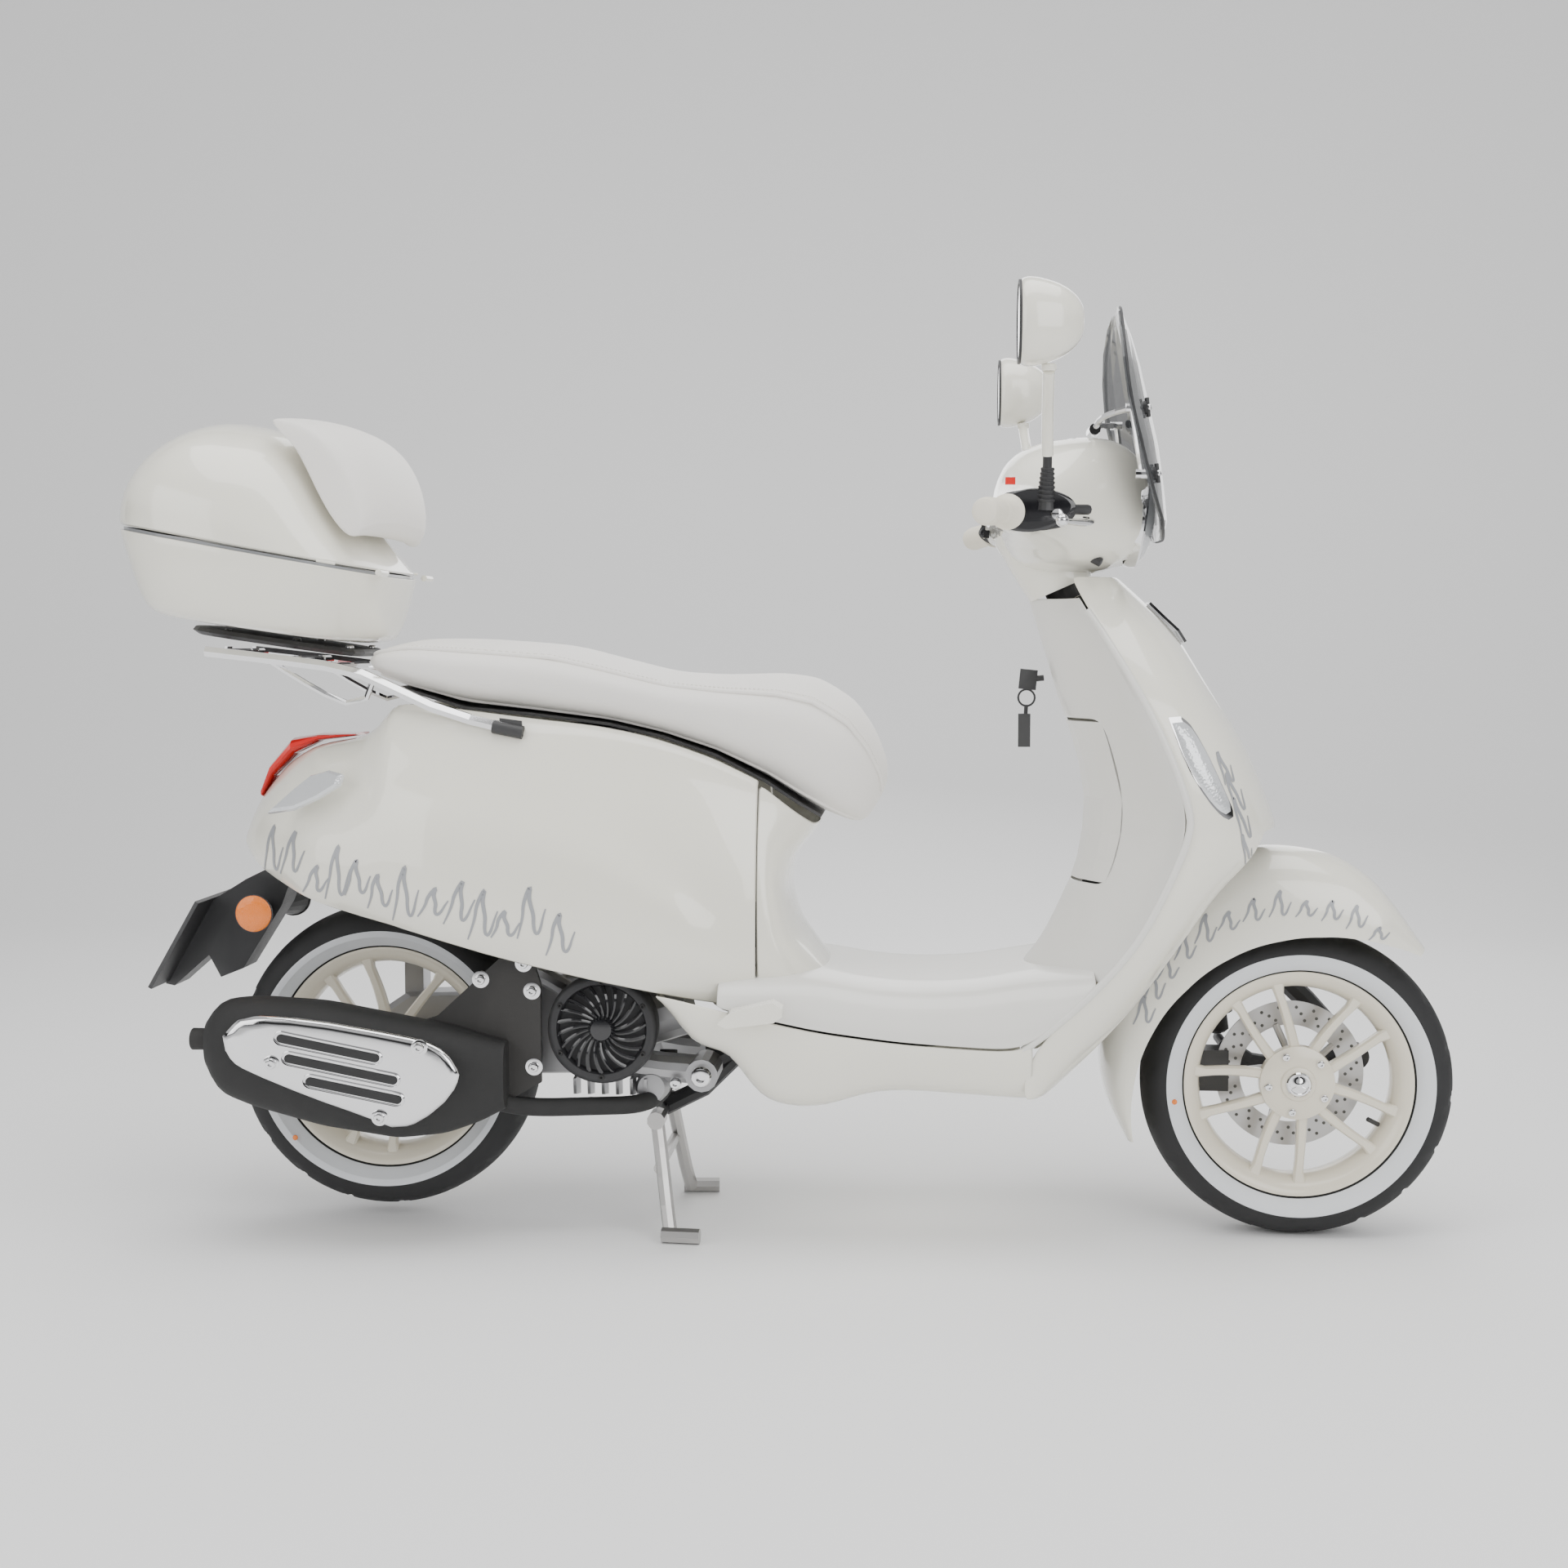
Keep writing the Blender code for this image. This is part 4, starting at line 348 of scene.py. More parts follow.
def rod(bm, start, end, r, segs=12):
    a = Vector(end) - Vector(start)
    turned(bm, start, a, [(0.0, r * 0.9), (0.0004, r), (a.length - 0.0004, r),
                          (a.length, r * 0.9)], segs)


def revolve(bm, profile, centre, axis, segs=96):
    """A closed (radius, height) outline turned about an axis through centre."""
    a, u, w = frame_of(axis)
    c = Vector(centre)
    rings = []
    for k in range(segs):
        t = 2.0 * math.pi * k / segs
        d = u * math.cos(t) + w * math.sin(t)
        rings.append(ring(bm, [c + d * r + a * h for r, h in profile]))
    skin(bm, rings + rings[:1])


def bolt(bm, spot, axis, r=0.006, tall=0.005):
    """Domed hexagon-socket screw head."""
    turned(bm, spot, axis, [(0.0, r), (tall * 0.55, r), (tall * 0.9, r * 0.82), (tall, r * 0.5),
                            (tall * 0.99, r * 0.46), (tall * 0.4, r * 0.44)], 18)


SIDES = (("right", -1.0), ("left", 1.0))


# ------------------------------------------------------------------ front shield
SPINE = [(0.994, 1.069), (0.931, 1.138), (0.893, 1.177), (0.809, 1.227), (0.74, 1.274),
         (0.663, 1.309), (0.612, 1.326)]
SEAM = [(0.306, 0.955), (0.335, 0.994), (0.393, 1.056), (0.451, 1.105), (0.502, 1.134),
        (0.563, 1.162), (0.614, 1.181), (0.646, 1.18), (0.721, 1.153), (0.799, 1.116),
        (0.874, 1.073), (0.92, 1.045), (0.97, 1.022)]
LOWER = [(0.215, 0.975), (0.313, 1.075), (0.373, 1.124), (0.433, 1.164), (0.49, 1.204),
         (0.531, 1.229), (0.59, 1.294)]
HALF_AT = [(0.225, 0.195), (0.3, 0.205), (0.4, 0.214), (0.52, 0.22), (0.7, 0.222),
           (0.82, 0.2), (0.9, 0.15), (0.95, 0.095), (0.994, 0.062)]


def apron_row(z, steps=10):
    seam_x = curve_at(SEAM, z)
    half = curve_at(HALF_AT, z)
    nose = curve_at(list(reversed(SPINE)), max(z, 0.612))
    if z < 0.612:
        nose = seam_x + (curve_at(LOWER, z) - seam_x) / 0.745
    row = []
    for k in range(-steps, steps + 1):
        u = abs(k) / steps
        ang = u * math.pi / 2.0
        x = seam_x + (nose - seam_x) * math.cos(ang) ** 0.85 if u < 1.0 else seam_x
        row.append((x, math.copysign(half * math.sin(ang) ** 0.9, k) if k else 0.0, z))
    return row


bm = bmesh.new()
rows = [0.972, 0.955, 0.925, 0.89, 0.85, 0.8, 0.745, 0.69, 0.64, 0.612,
        0.575, 0.53, 0.48, 0.43, 0.38, 0.33, 0.28, 0.232]
grid = [apron_row(z) for z in rows]
shell(bm, [list(reversed(r)) for r in grid], 0.003, lambda i, j: i >= 9 and 5 <= j <= 14)
piece("apron_skin", bm, "ivory", "chassis", ["apron"], levels=2)

# rounded rim that hides the joint between the outer shield and the knee panel
for word, side in SIDES:
    bm = bmesh.new()
    path = [(x - 0.002, side * (curve_at(HALF_AT, z) - 0.001), z) for z, x in SEAM[:-1]]
    sweep(bm, smooth(path, 60), 0.0055, 10, 1.0)
    piece("shield_rim_" + word, bm, "panel", "chassis")

KNEE = [(0.405, 0.96), (0.43, 0.985), (0.471, 1.005), (0.521, 1.028), (0.576, 1.045),
        (0.642, 1.05), (0.673, 1.048), (0.739, 1.03), (0.793, 1.01), (0.87, 0.987),
        (0.941, 0.963)]


def knee_row(z, steps):
    rear = curve_at(KNEE, z)
    rim = curve_at(SEAM, z) - 0.006
    half = curve_at(HALF_AT, z) - 0.0025
    row = []
    for k in range(-steps, steps + 1):
        u = abs(k) / steps
        bulge = 0.5 + 0.5 * math.cos(math.pi * min(1.0, u * 1.02))
        row.append((rim + (rear - rim) * bulge ** 0.85,
                    math.copysign(half * u, k) if k else 0.0, z))
    return row


bm = bmesh.new()
knee_rows = []
for z in (0.94, 0.915, 0.88, 0.84, 0.8, 0.764, 0.72, 0.67, 0.62, 0.57, 0.529, 0.49,
          0.455, 0.425, 0.402):
    full = knee_row(z, 16)
    ys = [p[1] for p in full]
    xs = [p[0] for p in full]
    edge = ys[-1]
    cols = list(np.linspace(-edge, -0.0985, 5)) + list(np.linspace(-0.074, 0.006, 5)) \
        + [0.0302] + list(np.linspace(0.055, edge, 6))
    knee_rows.append([(float(np.interp(y, ys, xs)), float(y), z) for y in cols])
shell(bm, knee_rows, 0.003, lambda i, j: 5 <= i <= 9 and 4 <= j <= 9)
piece("knee_skin", bm, "panel", "chassis", ["knee_panel"], levels=2)

# ------------------------------------------------------------------ rear body
TOP_LINE = [(-0.212, 0.59), (-0.2, 0.622), (-0.18, 0.654), (-0.133, 0.702), (-0.088, 0.724),
            (-0.021, 0.733), (0.01, 0.75), (0.03, 0.775), (0.05, 0.79), (0.13, 0.782),
            (0.228, 0.77), (0.357, 0.756), (0.434, 0.738), (0.511, 0.71), (0.587, 0.672),
            (0.64, 0.64)]
SIDE_LOW = [(-0.212, 0.574), (-0.183, 0.545), (-0.077, 0.5), (0.05, 0.471), (0.198, 0.43),
            (0.325, 0.4), (0.421, 0.38), (0.548, 0.356), (0.64, 0.34)]
BODY_HALF = [(-0.212, 0.03), (-0.19, 0.066), (-0.15, 0.108), (-0.09, 0.144), (0.0, 0.178),
             (0.1, 0.199), (0.22, 0.206), (0.34, 0.203), (0.44, 0.194), (0.52, 0.181),
             (0.64, 0.156)]
TOP_HALF = [(-0.212, 0.01), (-0.088, 0.06), (0.0, 0.085), (0.04, 0.112), (0.12, 0.13),
            (0.3, 0.138), (0.45, 0.134), (0.56, 0.122), (0.64, 0.108)]


def side_point(x, a, side):
    """Body skin at station x; a runs 0 at the seat rail to 1 at the lower edge."""
    top = curve_at(TOP_LINE, x)
    low = curve_at(SIDE_LOW, x)
    half = curve_at(BODY_HALF, x)
    rim = curve_at(TOP_HALF, x)
    y = rim + (half - rim) * min(1.0, math.sin(a * math.pi * 0.62)) ** 0.8
    if a > 0.8:
        y -= (a - 0.8) ** 2 * 0.35 * (half / 0.2)
    # the cowl swells out below an arched shoulder line
    mid = 0.66 - 0.5 * ((x - 0.16) / 0.42) ** 2
    z = lerp(top - 0.002, low, a ** 1.1)
    shoulder = low + (top - low) * max(0.02, mid)
    inside = 1.0 / (1.0 + math.exp((z - shoulder) / 0.012))
    if -0.16 < x < 0.56:
        y += 0.0085 * inside * min(1.0, (x + 0.16) / 0.08, (0.56 - x) / 0.08)
    return (x, side * y, z)


def side_row(x, side, steps=26):
    top = curve_at(TOP_LINE, x)
    rim = curve_at(TOP_HALF, x)
    inward = 0.001 if x < 0.034 else rim - 0.012
    row = [(x, side * inward, top - (0.0 if x < 0.034 else 0.012))]
    row.append((x, side * lerp(inward, rim, 0.5), top - (0.0005 if x < 0.034 else 0.004)))
    for k in range(steps + 1):
        row.append(side_point(x, k / steps, side))
    return row


BODY_X = [-0.211, -0.2, -0.185, -0.165, -0.14, -0.115, -0.09, -0.06, -0.03, -0.005, 0.015,
          0.033, 0.045, 0.07, 0.1, 0.14, 0.18, 0.22, 0.26, 0.3, 0.34, 0.38, 0.42,
          0.455, 0.485, 0.51, 0.535, 0.556, 0.575]
TUNNEL = [(0.345, 0.712), (0.38, 0.69), (0.412, 0.664), (0.455, 0.63), (0.51, 0.613),
          (0.56, 0.622), (0.59, 0.645), (0.606, 0.662)]


def tunnel_grid(steps=12):
    """Nose of the body between the two side skins, from seat to floor."""
    grid = []
    for a in np.linspace(0.0, 1.0, 16):
        end = [side_point(0.575, a, s) for s in (-1.0, 1.0)]
        z0 = lerp(0.612, 0.372, a)
        nose = curve_at(TUNNEL, z0)
        half = abs(end[0][1])
        zs = end[0][2]
        row = []
        for k in range(-steps, steps + 1):
            u = abs(k) / steps
            c = math.cos(u * math.pi / 2) if u < 1 else 0.0
            f = c ** 0.62 if c > 0 else 0.0
            row.append((0.575 + (nose - 0.575) * f,
                        math.copysign(half * math.sin(u * math.pi / 2) ** 0.85, k) if k else 0.0,
                        lerp(zs, z0, min(1.0, f * 1.1))))
        grid.append(row)
    return grid


for word, side in SIDES:
    bm = bmesh.new()
    grid = [side_row(x, side) for x in BODY_X]
    shell(bm, grid[::-1] if side < 0 else grid, 0.003)
    piece("side_skin_" + word, bm, "ivory", "chassis", ["side_panel_" + word], levels=1)
bm = bmesh.new()
shell(bm, [list(reversed(r)) for r in tunnel_grid()], 0.003)
piece("tunnel_skin", bm, "ivory", "chassis", ["body_front_cover"], levels=1)

# ------------------------------------------------------------------ floor, belly
FLOOR_MID = [(0.576, 0.4), (0.628, 0.402), (0.665, 0.4), (0.726, 0.388), (0.8, 0.382),
             (0.886, 0.386), (0.95, 0.398), (1.055, 0.412)]
FLOOR_EDGE = [(0.443, 0.378), (0.548, 0.354), (0.664, 0.33), (0.779, 0.316), (0.893, 0.309),
              (0.95, 0.307), (0.98, 0.327), (1.05, 0.391)]
BELLY_LOW = [(0.432, 0.376), (0.45, 0.352), (0.484, 0.299), (0.54, 0.284), (0.56, 0.25),
             (0.583, 0.222), (0.618, 0.206), (0.675, 0.21), (0.733, 0.232), (0.779, 0.238),
             (0.94, 0.228), (0.972, 0.226)]
FLOOR_HALF = [(0.44, 0.198), (0.6, 0.206), (0.8, 0.21), (0.95, 0.208), (1.055, 0.212)]
ROUND = [(0.0, 0.0), (0.004, 0.14), (0.015, 0.3), (0.04, 0.5), (0.08, 0.7), (0.14, 0.86),
         (0.22, 0.95), (0.34, 1.0), (0.52, 1.0), (0.76, 1.0), (1.0, 1.0)]


def across(x, edge, mid, half):
    row = [(x, -half * (1 - t), lerp(edge, mid, f)) for t, f in ROUND]
    return row + [(x, -y, z) for x, y, z in reversed(row[:-1])]


bm = bmesh.new()
grid = [across(x, curve_at(FLOOR_EDGE, x), curve_at(FLOOR_MID, x),
               curve_at(FLOOR_HALF, x))
        for x in (0.52, 0.576, 0.6, 0.625, 0.65, 0.68, 0.71, 0.745, 0.79, 0.84, 0.89,
                  0.93, 0.96, 0.995, 1.03, 1.055)]
shell(bm, [list(reversed(r)) for r in grid][::-1], 0.003)
piece("floor_skin", bm, "panel", "chassis", ["floorboard"], levels=2)

bm = bmesh.new()
grid = []
for x in (0.434, 0.455, 0.484, 0.51, 0.54, 0.56, 0.583, 0.605, 0.635, 0.675, 0.71, 0.745,
          0.79, 0.85, 0.9, 0.94, 0.968):
    grid.append(across(x, curve_at(FLOOR_EDGE, x) - 0.002, curve_at(BELLY_LOW, x),
                       curve_at(FLOOR_HALF, x) - 0.001))
shell(bm, grid[::-1], 0.003, lambda i, j: i > 9 and 7 <= j <= 12)
piece("belly_skin", bm, "ivory", "chassis", ["belly_fairing"], levels=1)

# foot ribs along both edges of the floor
for k in range(5):
    for word, side in SIDES:
        bm = bmesh.new()
        y = side * (0.172 + 0.0065 * k)
        path = []
        for x in np.linspace(0.68, 0.965, 24):
            f = float(np.interp(1 - abs(y) / curve_at(FLOOR_HALF, x), [t for t, _ in ROUND],
                                [v for _, v in ROUND]))
            path.append((x, y, lerp(curve_at(FLOOR_EDGE, x), curve_at(FLOOR_MID, x), f)
                         + 0.0005))
        sweep(bm, path, 0.0016, 6)
        piece("foot_rib_%s_%d" % (word, k), bm, "panel", "chassis")


# ------------------------------------------------------------------------ seat
SEAT = [((-0.006, 0.85), (-0.004, 0.842), 0.04), ((-0.004, 0.858), (0.0, 0.836), 0.088),
        ((0.016, 0.87), (0.014, 0.826), 0.12),
        ((0.07, 0.882), (0.058, 0.81), 0.142), ((0.15, 0.882), (0.145, 0.785), 0.151),
        ((0.283, 0.873), (0.25, 0.773), 0.155), ((0.363, 0.852), (0.357, 0.76), 0.153),
        ((0.444, 0.832), (0.434, 0.742), 0.149), ((0.524, 0.828), (0.511, 0.715), 0.143),
        ((0.604, 0.831), (0.585, 0.677), 0.135), ((0.657, 0.824), (0.632, 0.646), 0.127),
        ((0.71, 0.791), (0.664, 0.628), 0.115), ((0.741, 0.746), (0.69, 0.617), 0.098),
        ((0.759, 0.698), (0.708, 0.611), 0.074), ((0.7585, 0.668), (0.72, 0.611), 0.048),
        ((0.748, 0.645), (0.732, 0.618), 0.016)]


def seat_loop(tip, base, half, count=40):
    mid = ((tip[0] + base[0]) / 2, (tip[1] + base[1]) / 2)
    tall = math.hypot(tip[0] - base[0], tip[1] - base[1]) / 2
    up = ((tip[0] - base[0]) / (2 * tall), (tip[1] - base[1]) / (2 * tall))
    loop = []
    for u, v in oval(0, 0, half, tall, count, 2.6):
        grow = 1.0 + 0.05 * max(0.0, 0.35 - abs(v / tall - 0.25))
        loop.append((mid[0] + up[0] * v, u * grow, mid[1] + up[1] * v))
    return loop


bm = bmesh.new()
stations = [(t[0], t[1], b[0], b[1], h) for t, b, h in SEAT]
fine = [stations[0]]
for a, b in zip(stations[:-1], stations[1:]):
    fine.append(tuple(lerp(p, q, 0.5) for p, q in zip(a, b)))
    fine.append(b)
loft(bm, [seat_loop((tx, tz), (bx, bz), h) for tx, tz, bx, bz, h in fine])
seat = piece("seat_padding", bm, "seat", "seat", ["seat_cushion"], levels=1)


def seat_side(s, level, lift=0.0015):
    """Point on the cushion side at station s (0..1) and height level (-1..1)."""
    k = s * (len(stations) - 1)
    i = min(int(k), len(stations) - 2)
    tx, tz, bx, bz, h = (lerp(p, q, k - i) for p, q in zip(stations[i], stations[i + 1]))
    tall = math.hypot(tx - bx, tz - bz) / 2
    w = h * (1 - abs(level) ** 2.6) ** (1 / 2.6) + lift
    mx, mz = (tx + bx) / 2, (tz + bz) / 2
    return (mx + (tx - bx) / 2 * level, w, mz + (tz - bz) / 2 * level)


# piping round the top edge, and the lower hem
for name, lo, hi, level, r in (("seat_piping", 0.11, 0.93, 0.62, 0.003),
                               ("seat_hem", 0.13, 0.9, -0.86, 0.0024)):
    bm = bmesh.new()
    right = [seat_side(s, level) for s in np.linspace(lo, hi, 60)]
    path = [(x, -y, z) for x, y, z in right]
    sweep(bm, path, r, 8)
    sweep(bm, [(x, y, z) for x, y, z in right], r, 8)
    piece(name, bm, "seat", "seat")
# stitches beside the piping
bm = bmesh.new()
for side in (-1.0, 1.0):
    for s in np.linspace(0.12, 0.92, 150):
        a = Vector(seat_side(s, 0.7, 0.0006))
        b = Vector(seat_side(s + 0.003, 0.7, 0.0006))
        a.y *= side
        b.y *= side
        sweep(bm, [a, (a + b) / 2 + Vector((0, side * 0.0005, 0.0004)), b], 0.0006, 5)
piece("seat_stitching", bm, "seat", "seat")

# -------------------------------------------------------------------- top case
def case_loop(xa, xb, z_mid, half, count=64, power=3.0):
    slope = lerp(-0.146, -0.182, min(1.0, max(0.0, (z_mid - 0.895) / 0.11)))
    return [(x, y, z_mid + (x + 0.145) * slope)
            for x, y in oval((xa + xb) / 2, 0, (xb - xa) / 2, half, count, power)]


def hollow(bm, table, wall, power):
    """A cup of case loops: closed at the first row, open at the last, with a wall and a rim."""
    inward = 1.0 if table[-1][0] > table[0][0] else -1.0
    outer = [ring(bm, case_loop(a, b, z, h, 64, power)) for z, a, b, h in table]
    inner = [ring(bm, case_loop(a + wall, b - wall, z + inward * wall * max(0.0, 1 - k / 3),
                                   h - wall, 64, power)) for k, (z, a, b, h) in enumerate(table)]
    skin(bm, outer + inner[::-1])
    bm.faces.new(outer[0])
    bm.faces.new(inner[0])


bm = bmesh.new()
tray = [(0.8925, -0.3, -0.035, 0.15), (0.893, -0.318, -0.02, 0.172),
        (0.8975, -0.331, -0.009, 0.19),
        (0.906, -0.3395, -0.001, 0.201), (0.92, -0.346, 0.005, 0.208),
        (0.94, -0.353, 0.0115, 0.215), (0.97, -0.362, 0.019, 0.223),
        (0.995, -0.3695, 0.0245, 0.2272), (1.0035, -0.3715, 0.0265, 0.2282),
        (1.0048, -0.37, 0.025, 0.227)]
hollow(bm, tray[:-1], 0.0032, 3.0)
piece("case_bottom", bm, "ivory", "chassis", ["case_tray"], levels=1)
bm = bmesh.new()
lid = [(1.006, -0.3712, 0.0262, 0.227), (1.0085, -0.3735, 0.0282, 0.2288),
       (1.04, -0.37, -0.006, 0.2285), (1.075, -0.357, -0.034, 0.223),
       (1.11, -0.334, -0.054, 0.209), (1.14, -0.305, -0.072, 0.187),
       (1.165, -0.271, -0.093, 0.154), (1.182, -0.237, -0.116, 0.112),
       (1.189, -0.215, -0.134, 0.074), (1.1925, -0.19, -0.155, 0.03)]
hollow(bm, list(reversed(lid[1:])), 0.0032, 2.9)
piece("case_cover", bm, "ivory", "case_top", ["case_lid"], levels=1)
# seal between tray and lid, and the lock
bm = bmesh.new()
seal = [ring(bm, case_loop(-0.366 + d, 0.021 - d, z, 0.222 - d)) for z, d in
        ((1.003, 0.0), (1.0072, 0.0), (1.0072, 0.004), (1.003, 0.004))]
skin(bm, seal + seal[:1])
piece("case_gasket", bm, "grey", "chassis")
bm = bmesh.new()
turned(bm, (-0.3715, 0.0, 1.028), (-1, 0, 0), [(0, 0.011), (0.004, 0.011), (0.005, 0.009),
                                             (0.0042, 0.004)], 24)
piece("case_lock", bm, "chrome", "chassis")

bm = bmesh.new()
loops = []
for y in (-0.168, -0.164, -0.152, -0.13, -0.095, -0.05, 0.0, 0.05, 0.095, 0.13, 0.152, 0.164,
          0.168):
    f = max(0.0, 1 - (abs(y) / 0.172) ** 3.2) ** (1 / 2.4)
    back = [(-0.116, 1.19), (-0.086, 1.167), (-0.067, 1.134), (-0.05, 1.097), (-0.029, 1.055),
            (0.0, 1.019)]
    front = [(-0.097, 1.2045), (-0.045, 1.199), (-0.006, 1.18), (0.022, 1.15), (0.04, 1.105),
             (0.0405, 1.046)]
    sink = (1 - math.sqrt(max(0.0, 1 - (y / 0.172) ** 2))) * 0.026
    full = 0.3 + 0.7 * f
    poly = [(x - sink * 0.5 + 0.003, y, z - sink * 0.1 + 0.003) for x, z in back]
    for (bx, bz), (x, z) in reversed(list(zip(back, front))):
        poly.append((lerp(bx, x, full) - sink * 0.5 + 0.003, y, lerp(bz, z, full) - sink * 0.1))
    loops.append(poly)
loft(bm, loops)
pad = piece("backrest_padding", bm, "seat", "case_top", ["backrest_pad"], levels=2)

# ----------------------------------------------------------------------- wheels
def wheel_set(tag, c, radius, width, body, rim_node, tyre_node):
    w = width / 2.0
    cv = Vector(c)
    # tyre: casing with a white band, tread blocks cut by slanted grooves
    half = [(0.156, 0.03), (0.1672, 0.0335), (0.17, 0.0405), (0.1715, 0.043), (0.178, 0.049),
            (0.185, w * 0.955), (0.1925, w * 0.995), (0.1945, w * 1.0), (0.2, w * 0.985),
            (radius - 0.02, w * 0.915), (radius - 0.0125, w * 0.82), (radius - 0.0065, w * 0.66),
            (radius - 0.003, w * 0.48), (radius - 0.001, w * 0.26), (radius, w * 0.06)]
    line = [(r, -y) for r, y in half] + [(r, y) for r, y in reversed(half)]
    n = len(line)
    segs = 216
    a, u, v = frame_of((0, 1, 0))
    bm = bmesh.new()
    rings = []
    for k in range(segs):
        t = 2 * math.pi * k / segs
        d = u * math.cos(t) + v * math.sin(t)
        spots = []
        for j, (r, y) in enumerate(line):
            mirrored = min(j, n - 1 - j)
            cut = 0.0
            if 9 <= mirrored:
                lean = mirrored - 9 + (4 if j >= n / 2 else 0)
                if (k * 2 + lean * 3) % 24 in (0, 1, 2, 3) and mirrored not in (9, 14):
                    cut = 0.0032
            spots.append(cv + d * (r - cut) + a * y)
        rings.append(ring(bm, spots))
    rings.append(rings[0])
    for k in range(segs):
        for j in range(n - 1):
            f = bm.faces.new((rings[k][j], rings[k][j + 1], rings[k + 1][j + 1], rings[k + 1][j]))
            m = min(j, n - 2 - j)
            f.material_index = 1 if 2 <= m <= 6 else 0
    piece(tag + "_tyre_cover", bm, ["rubber", "white"], body, [tyre_node], angle=32.0)
    # rim barrel, lips and bead
    bm = bmesh.new()
    prof = [(0.1672, -0.0385), (0.1676, -0.037), (0.1665, -0.034), (0.158, -0.031), (0.15, -0.022),
            (0.147, 0.0), (0.15, 0.022), (0.158, 0.031), (0.1665, 0.034), (0.1676, 0.037),
            (0.1672, 0.0385), (0.164, 0.0388), (0.16, 0.037), (0.153, 0.034), (0.144, 0.024),
            (0.14, 0.0), (0.144, -0.02), (0.152, -0.032), (0.16, -0.037), (0.164, -0.0388)]
    revolve(bm, prof, c, (0, 1, 0), 128)
    # ten spokes in five pairs
    for pair in range(5):
        base = math.radians(115.0 - 72.0 * pair)
        for s in (-1.0, 1.0):
            tip = base + s * math.radians(13.0)
            root = base + s * math.radians(25.0)
            loops = []
            for t in np.linspace(0.0, 1.0, 9):
                rr = lerp(0.03, 0.15, t)
                ang = lerp(root, tip, min(1.0, t * 1.15) ** 0.6)
                px = cv.x + rr * math.cos(ang)
                pz = cv.z + rr * math.sin(ang)
                yf = lerp(-0.03, -0.029, t) + 0.006 * math.sin(math.pi * t)
                half_w = lerp(0.0085, 0.006, t) + 0.004 * max(0.0, t - 0.85) / 0.15
                deep = lerp(0.02, 0.018, t)
                dirv = Vector((-math.sin(ang), 0, math.cos(ang)))
                loops.append([Vector((px, yf + p * deep, pz)) + dirv * (q * half_w)
                              for q, p in ((-0.62, 0.0), (0.62, 0.0), (0.95, 0.16), (1.0, 0.5),
                                           (0.85, 1.0), (-0.85, 1.0), (-1.0, 0.5), (-0.95, 0.16))])
            loft(bm, loops)
    turned(bm, cv + Vector((0, -0.0385, 0)), (0, 1, 0),
           [(0.0, 0.022), (0.0012, 0.0245), (0.004, 0.026), (0.0055, 0.046), (0.009, 0.0545),
            (0.02, 0.056), (0.034, 0.05), (0.076, 0.034)], 64)
    piece(tag + "_rim_cover", bm, "cream", body, [rim_node], angle=35.0)
    # hub cap and the five wheel bolts
    bm = bmesh.new()
    turned(bm, cv + Vector((0, -0.038, 0)), (0, -1, 0),
           [(0.0, 0.0185), (0.003, 0.0185), (0.005, 0.0165), (0.0052, 0.014), (0.0042, 0.013),
            (0.005, 0.006), (0.0062, 0.004)], 40)
    for k in range(3):
        t = math.radians(90 + 120 * k)
        a0 = cv + Vector((0.0045 * math.cos(t), -0.0428, 0.0045 * math.sin(t)))
        a1 = cv + Vector((0.0125 * math.cos(t), -0.0426, 0.0125 * math.sin(t)))
        rod(bm, a0, a1, 0.0012, 8)
    for k in range(5):
        t = math.radians(115.0 - 72.0 * k)
        bolt(bm, cv + Vector((0.0435 * math.cos(t), -0.0322, 0.0435 * math.sin(t))), (0, -1, 0),
             0.0062, 0.0055)
    piece(tag + "_wheel_bolts", bm, "chrome", body)
    # valve and balance dot
    bm = bmesh.new()
    rod(bm, cv + Vector((0.122, -0.012, -0.064)), cv + Vector((0.104, -0.02, -0.054)), 0.0035)
    piece(tag + "_valve", bm, "black", body)
    bm = bmesh.new()
    t = math.radians(188 if tag == "front" else 222)
    turned(bm, cv + Vector((0.184 * math.cos(t), -w * 0.952, 0.184 * math.sin(t))), (0, -1, 0),
           [(0.0, 0.0042), (0.0012, 0.004), (0.0014, 0.003)], 16)
    piece(tag + "_balance_mark", bm, "amber", body)


wheel_set("front", FRONT, 0.2275, 0.11, "front_wheel", "front_rim", "front_tyre")
wheel_set("rear", REAR, 0.2305, 0.12, "rear_wheel", "rear_rim", "rear_tyre")

# drilled brake disc
bm = bmesh.new()
cv = Vector(FRONT)
revolve(bm, [(0.074, 0.041), (0.11, 0.041), (0.1104, 0.0418), (0.11, 0.0454), (0.074, 0.0454)],
        FRONT, (0, 1, 0), 96)
for k in range(5):
    t = math.radians(20 + 72 * k)
    rod(bm, cv + Vector((0.03 * math.cos(t), 0.0432, 0.03 * math.sin(t))),
        cv + Vector((0.078 * math.cos(t + 0.25), 0.0432, 0.078 * math.sin(t + 0.25))), 0.0055, 8)
revolve(bm, [(0.028, 0.0412), (0.036, 0.0412), (0.036, 0.0452), (0.028, 0.0452)], FRONT,
        (0, 1, 0), 40)
piece("disc_cover", bm, "steel", "front_wheel", ["brake_disc"])
# dark rods filling the drilled holes: painted shade in place of open holes
bm = bmesh.new()
for row, r in enumerate((0.083, 0.092, 0.101)):
    for k in range(24):
        t = 2 * math.pi * (k + row * 0.33) / 24
        rod(bm, cv + Vector((r * math.cos(t), 0.0407, r * math.sin(t))),
            cv + Vector((r * math.cos(t), 0.0457, r * math.sin(t))), 0.0027, 8)
piece("disc_holes", bm, "seam", "front_wheel")


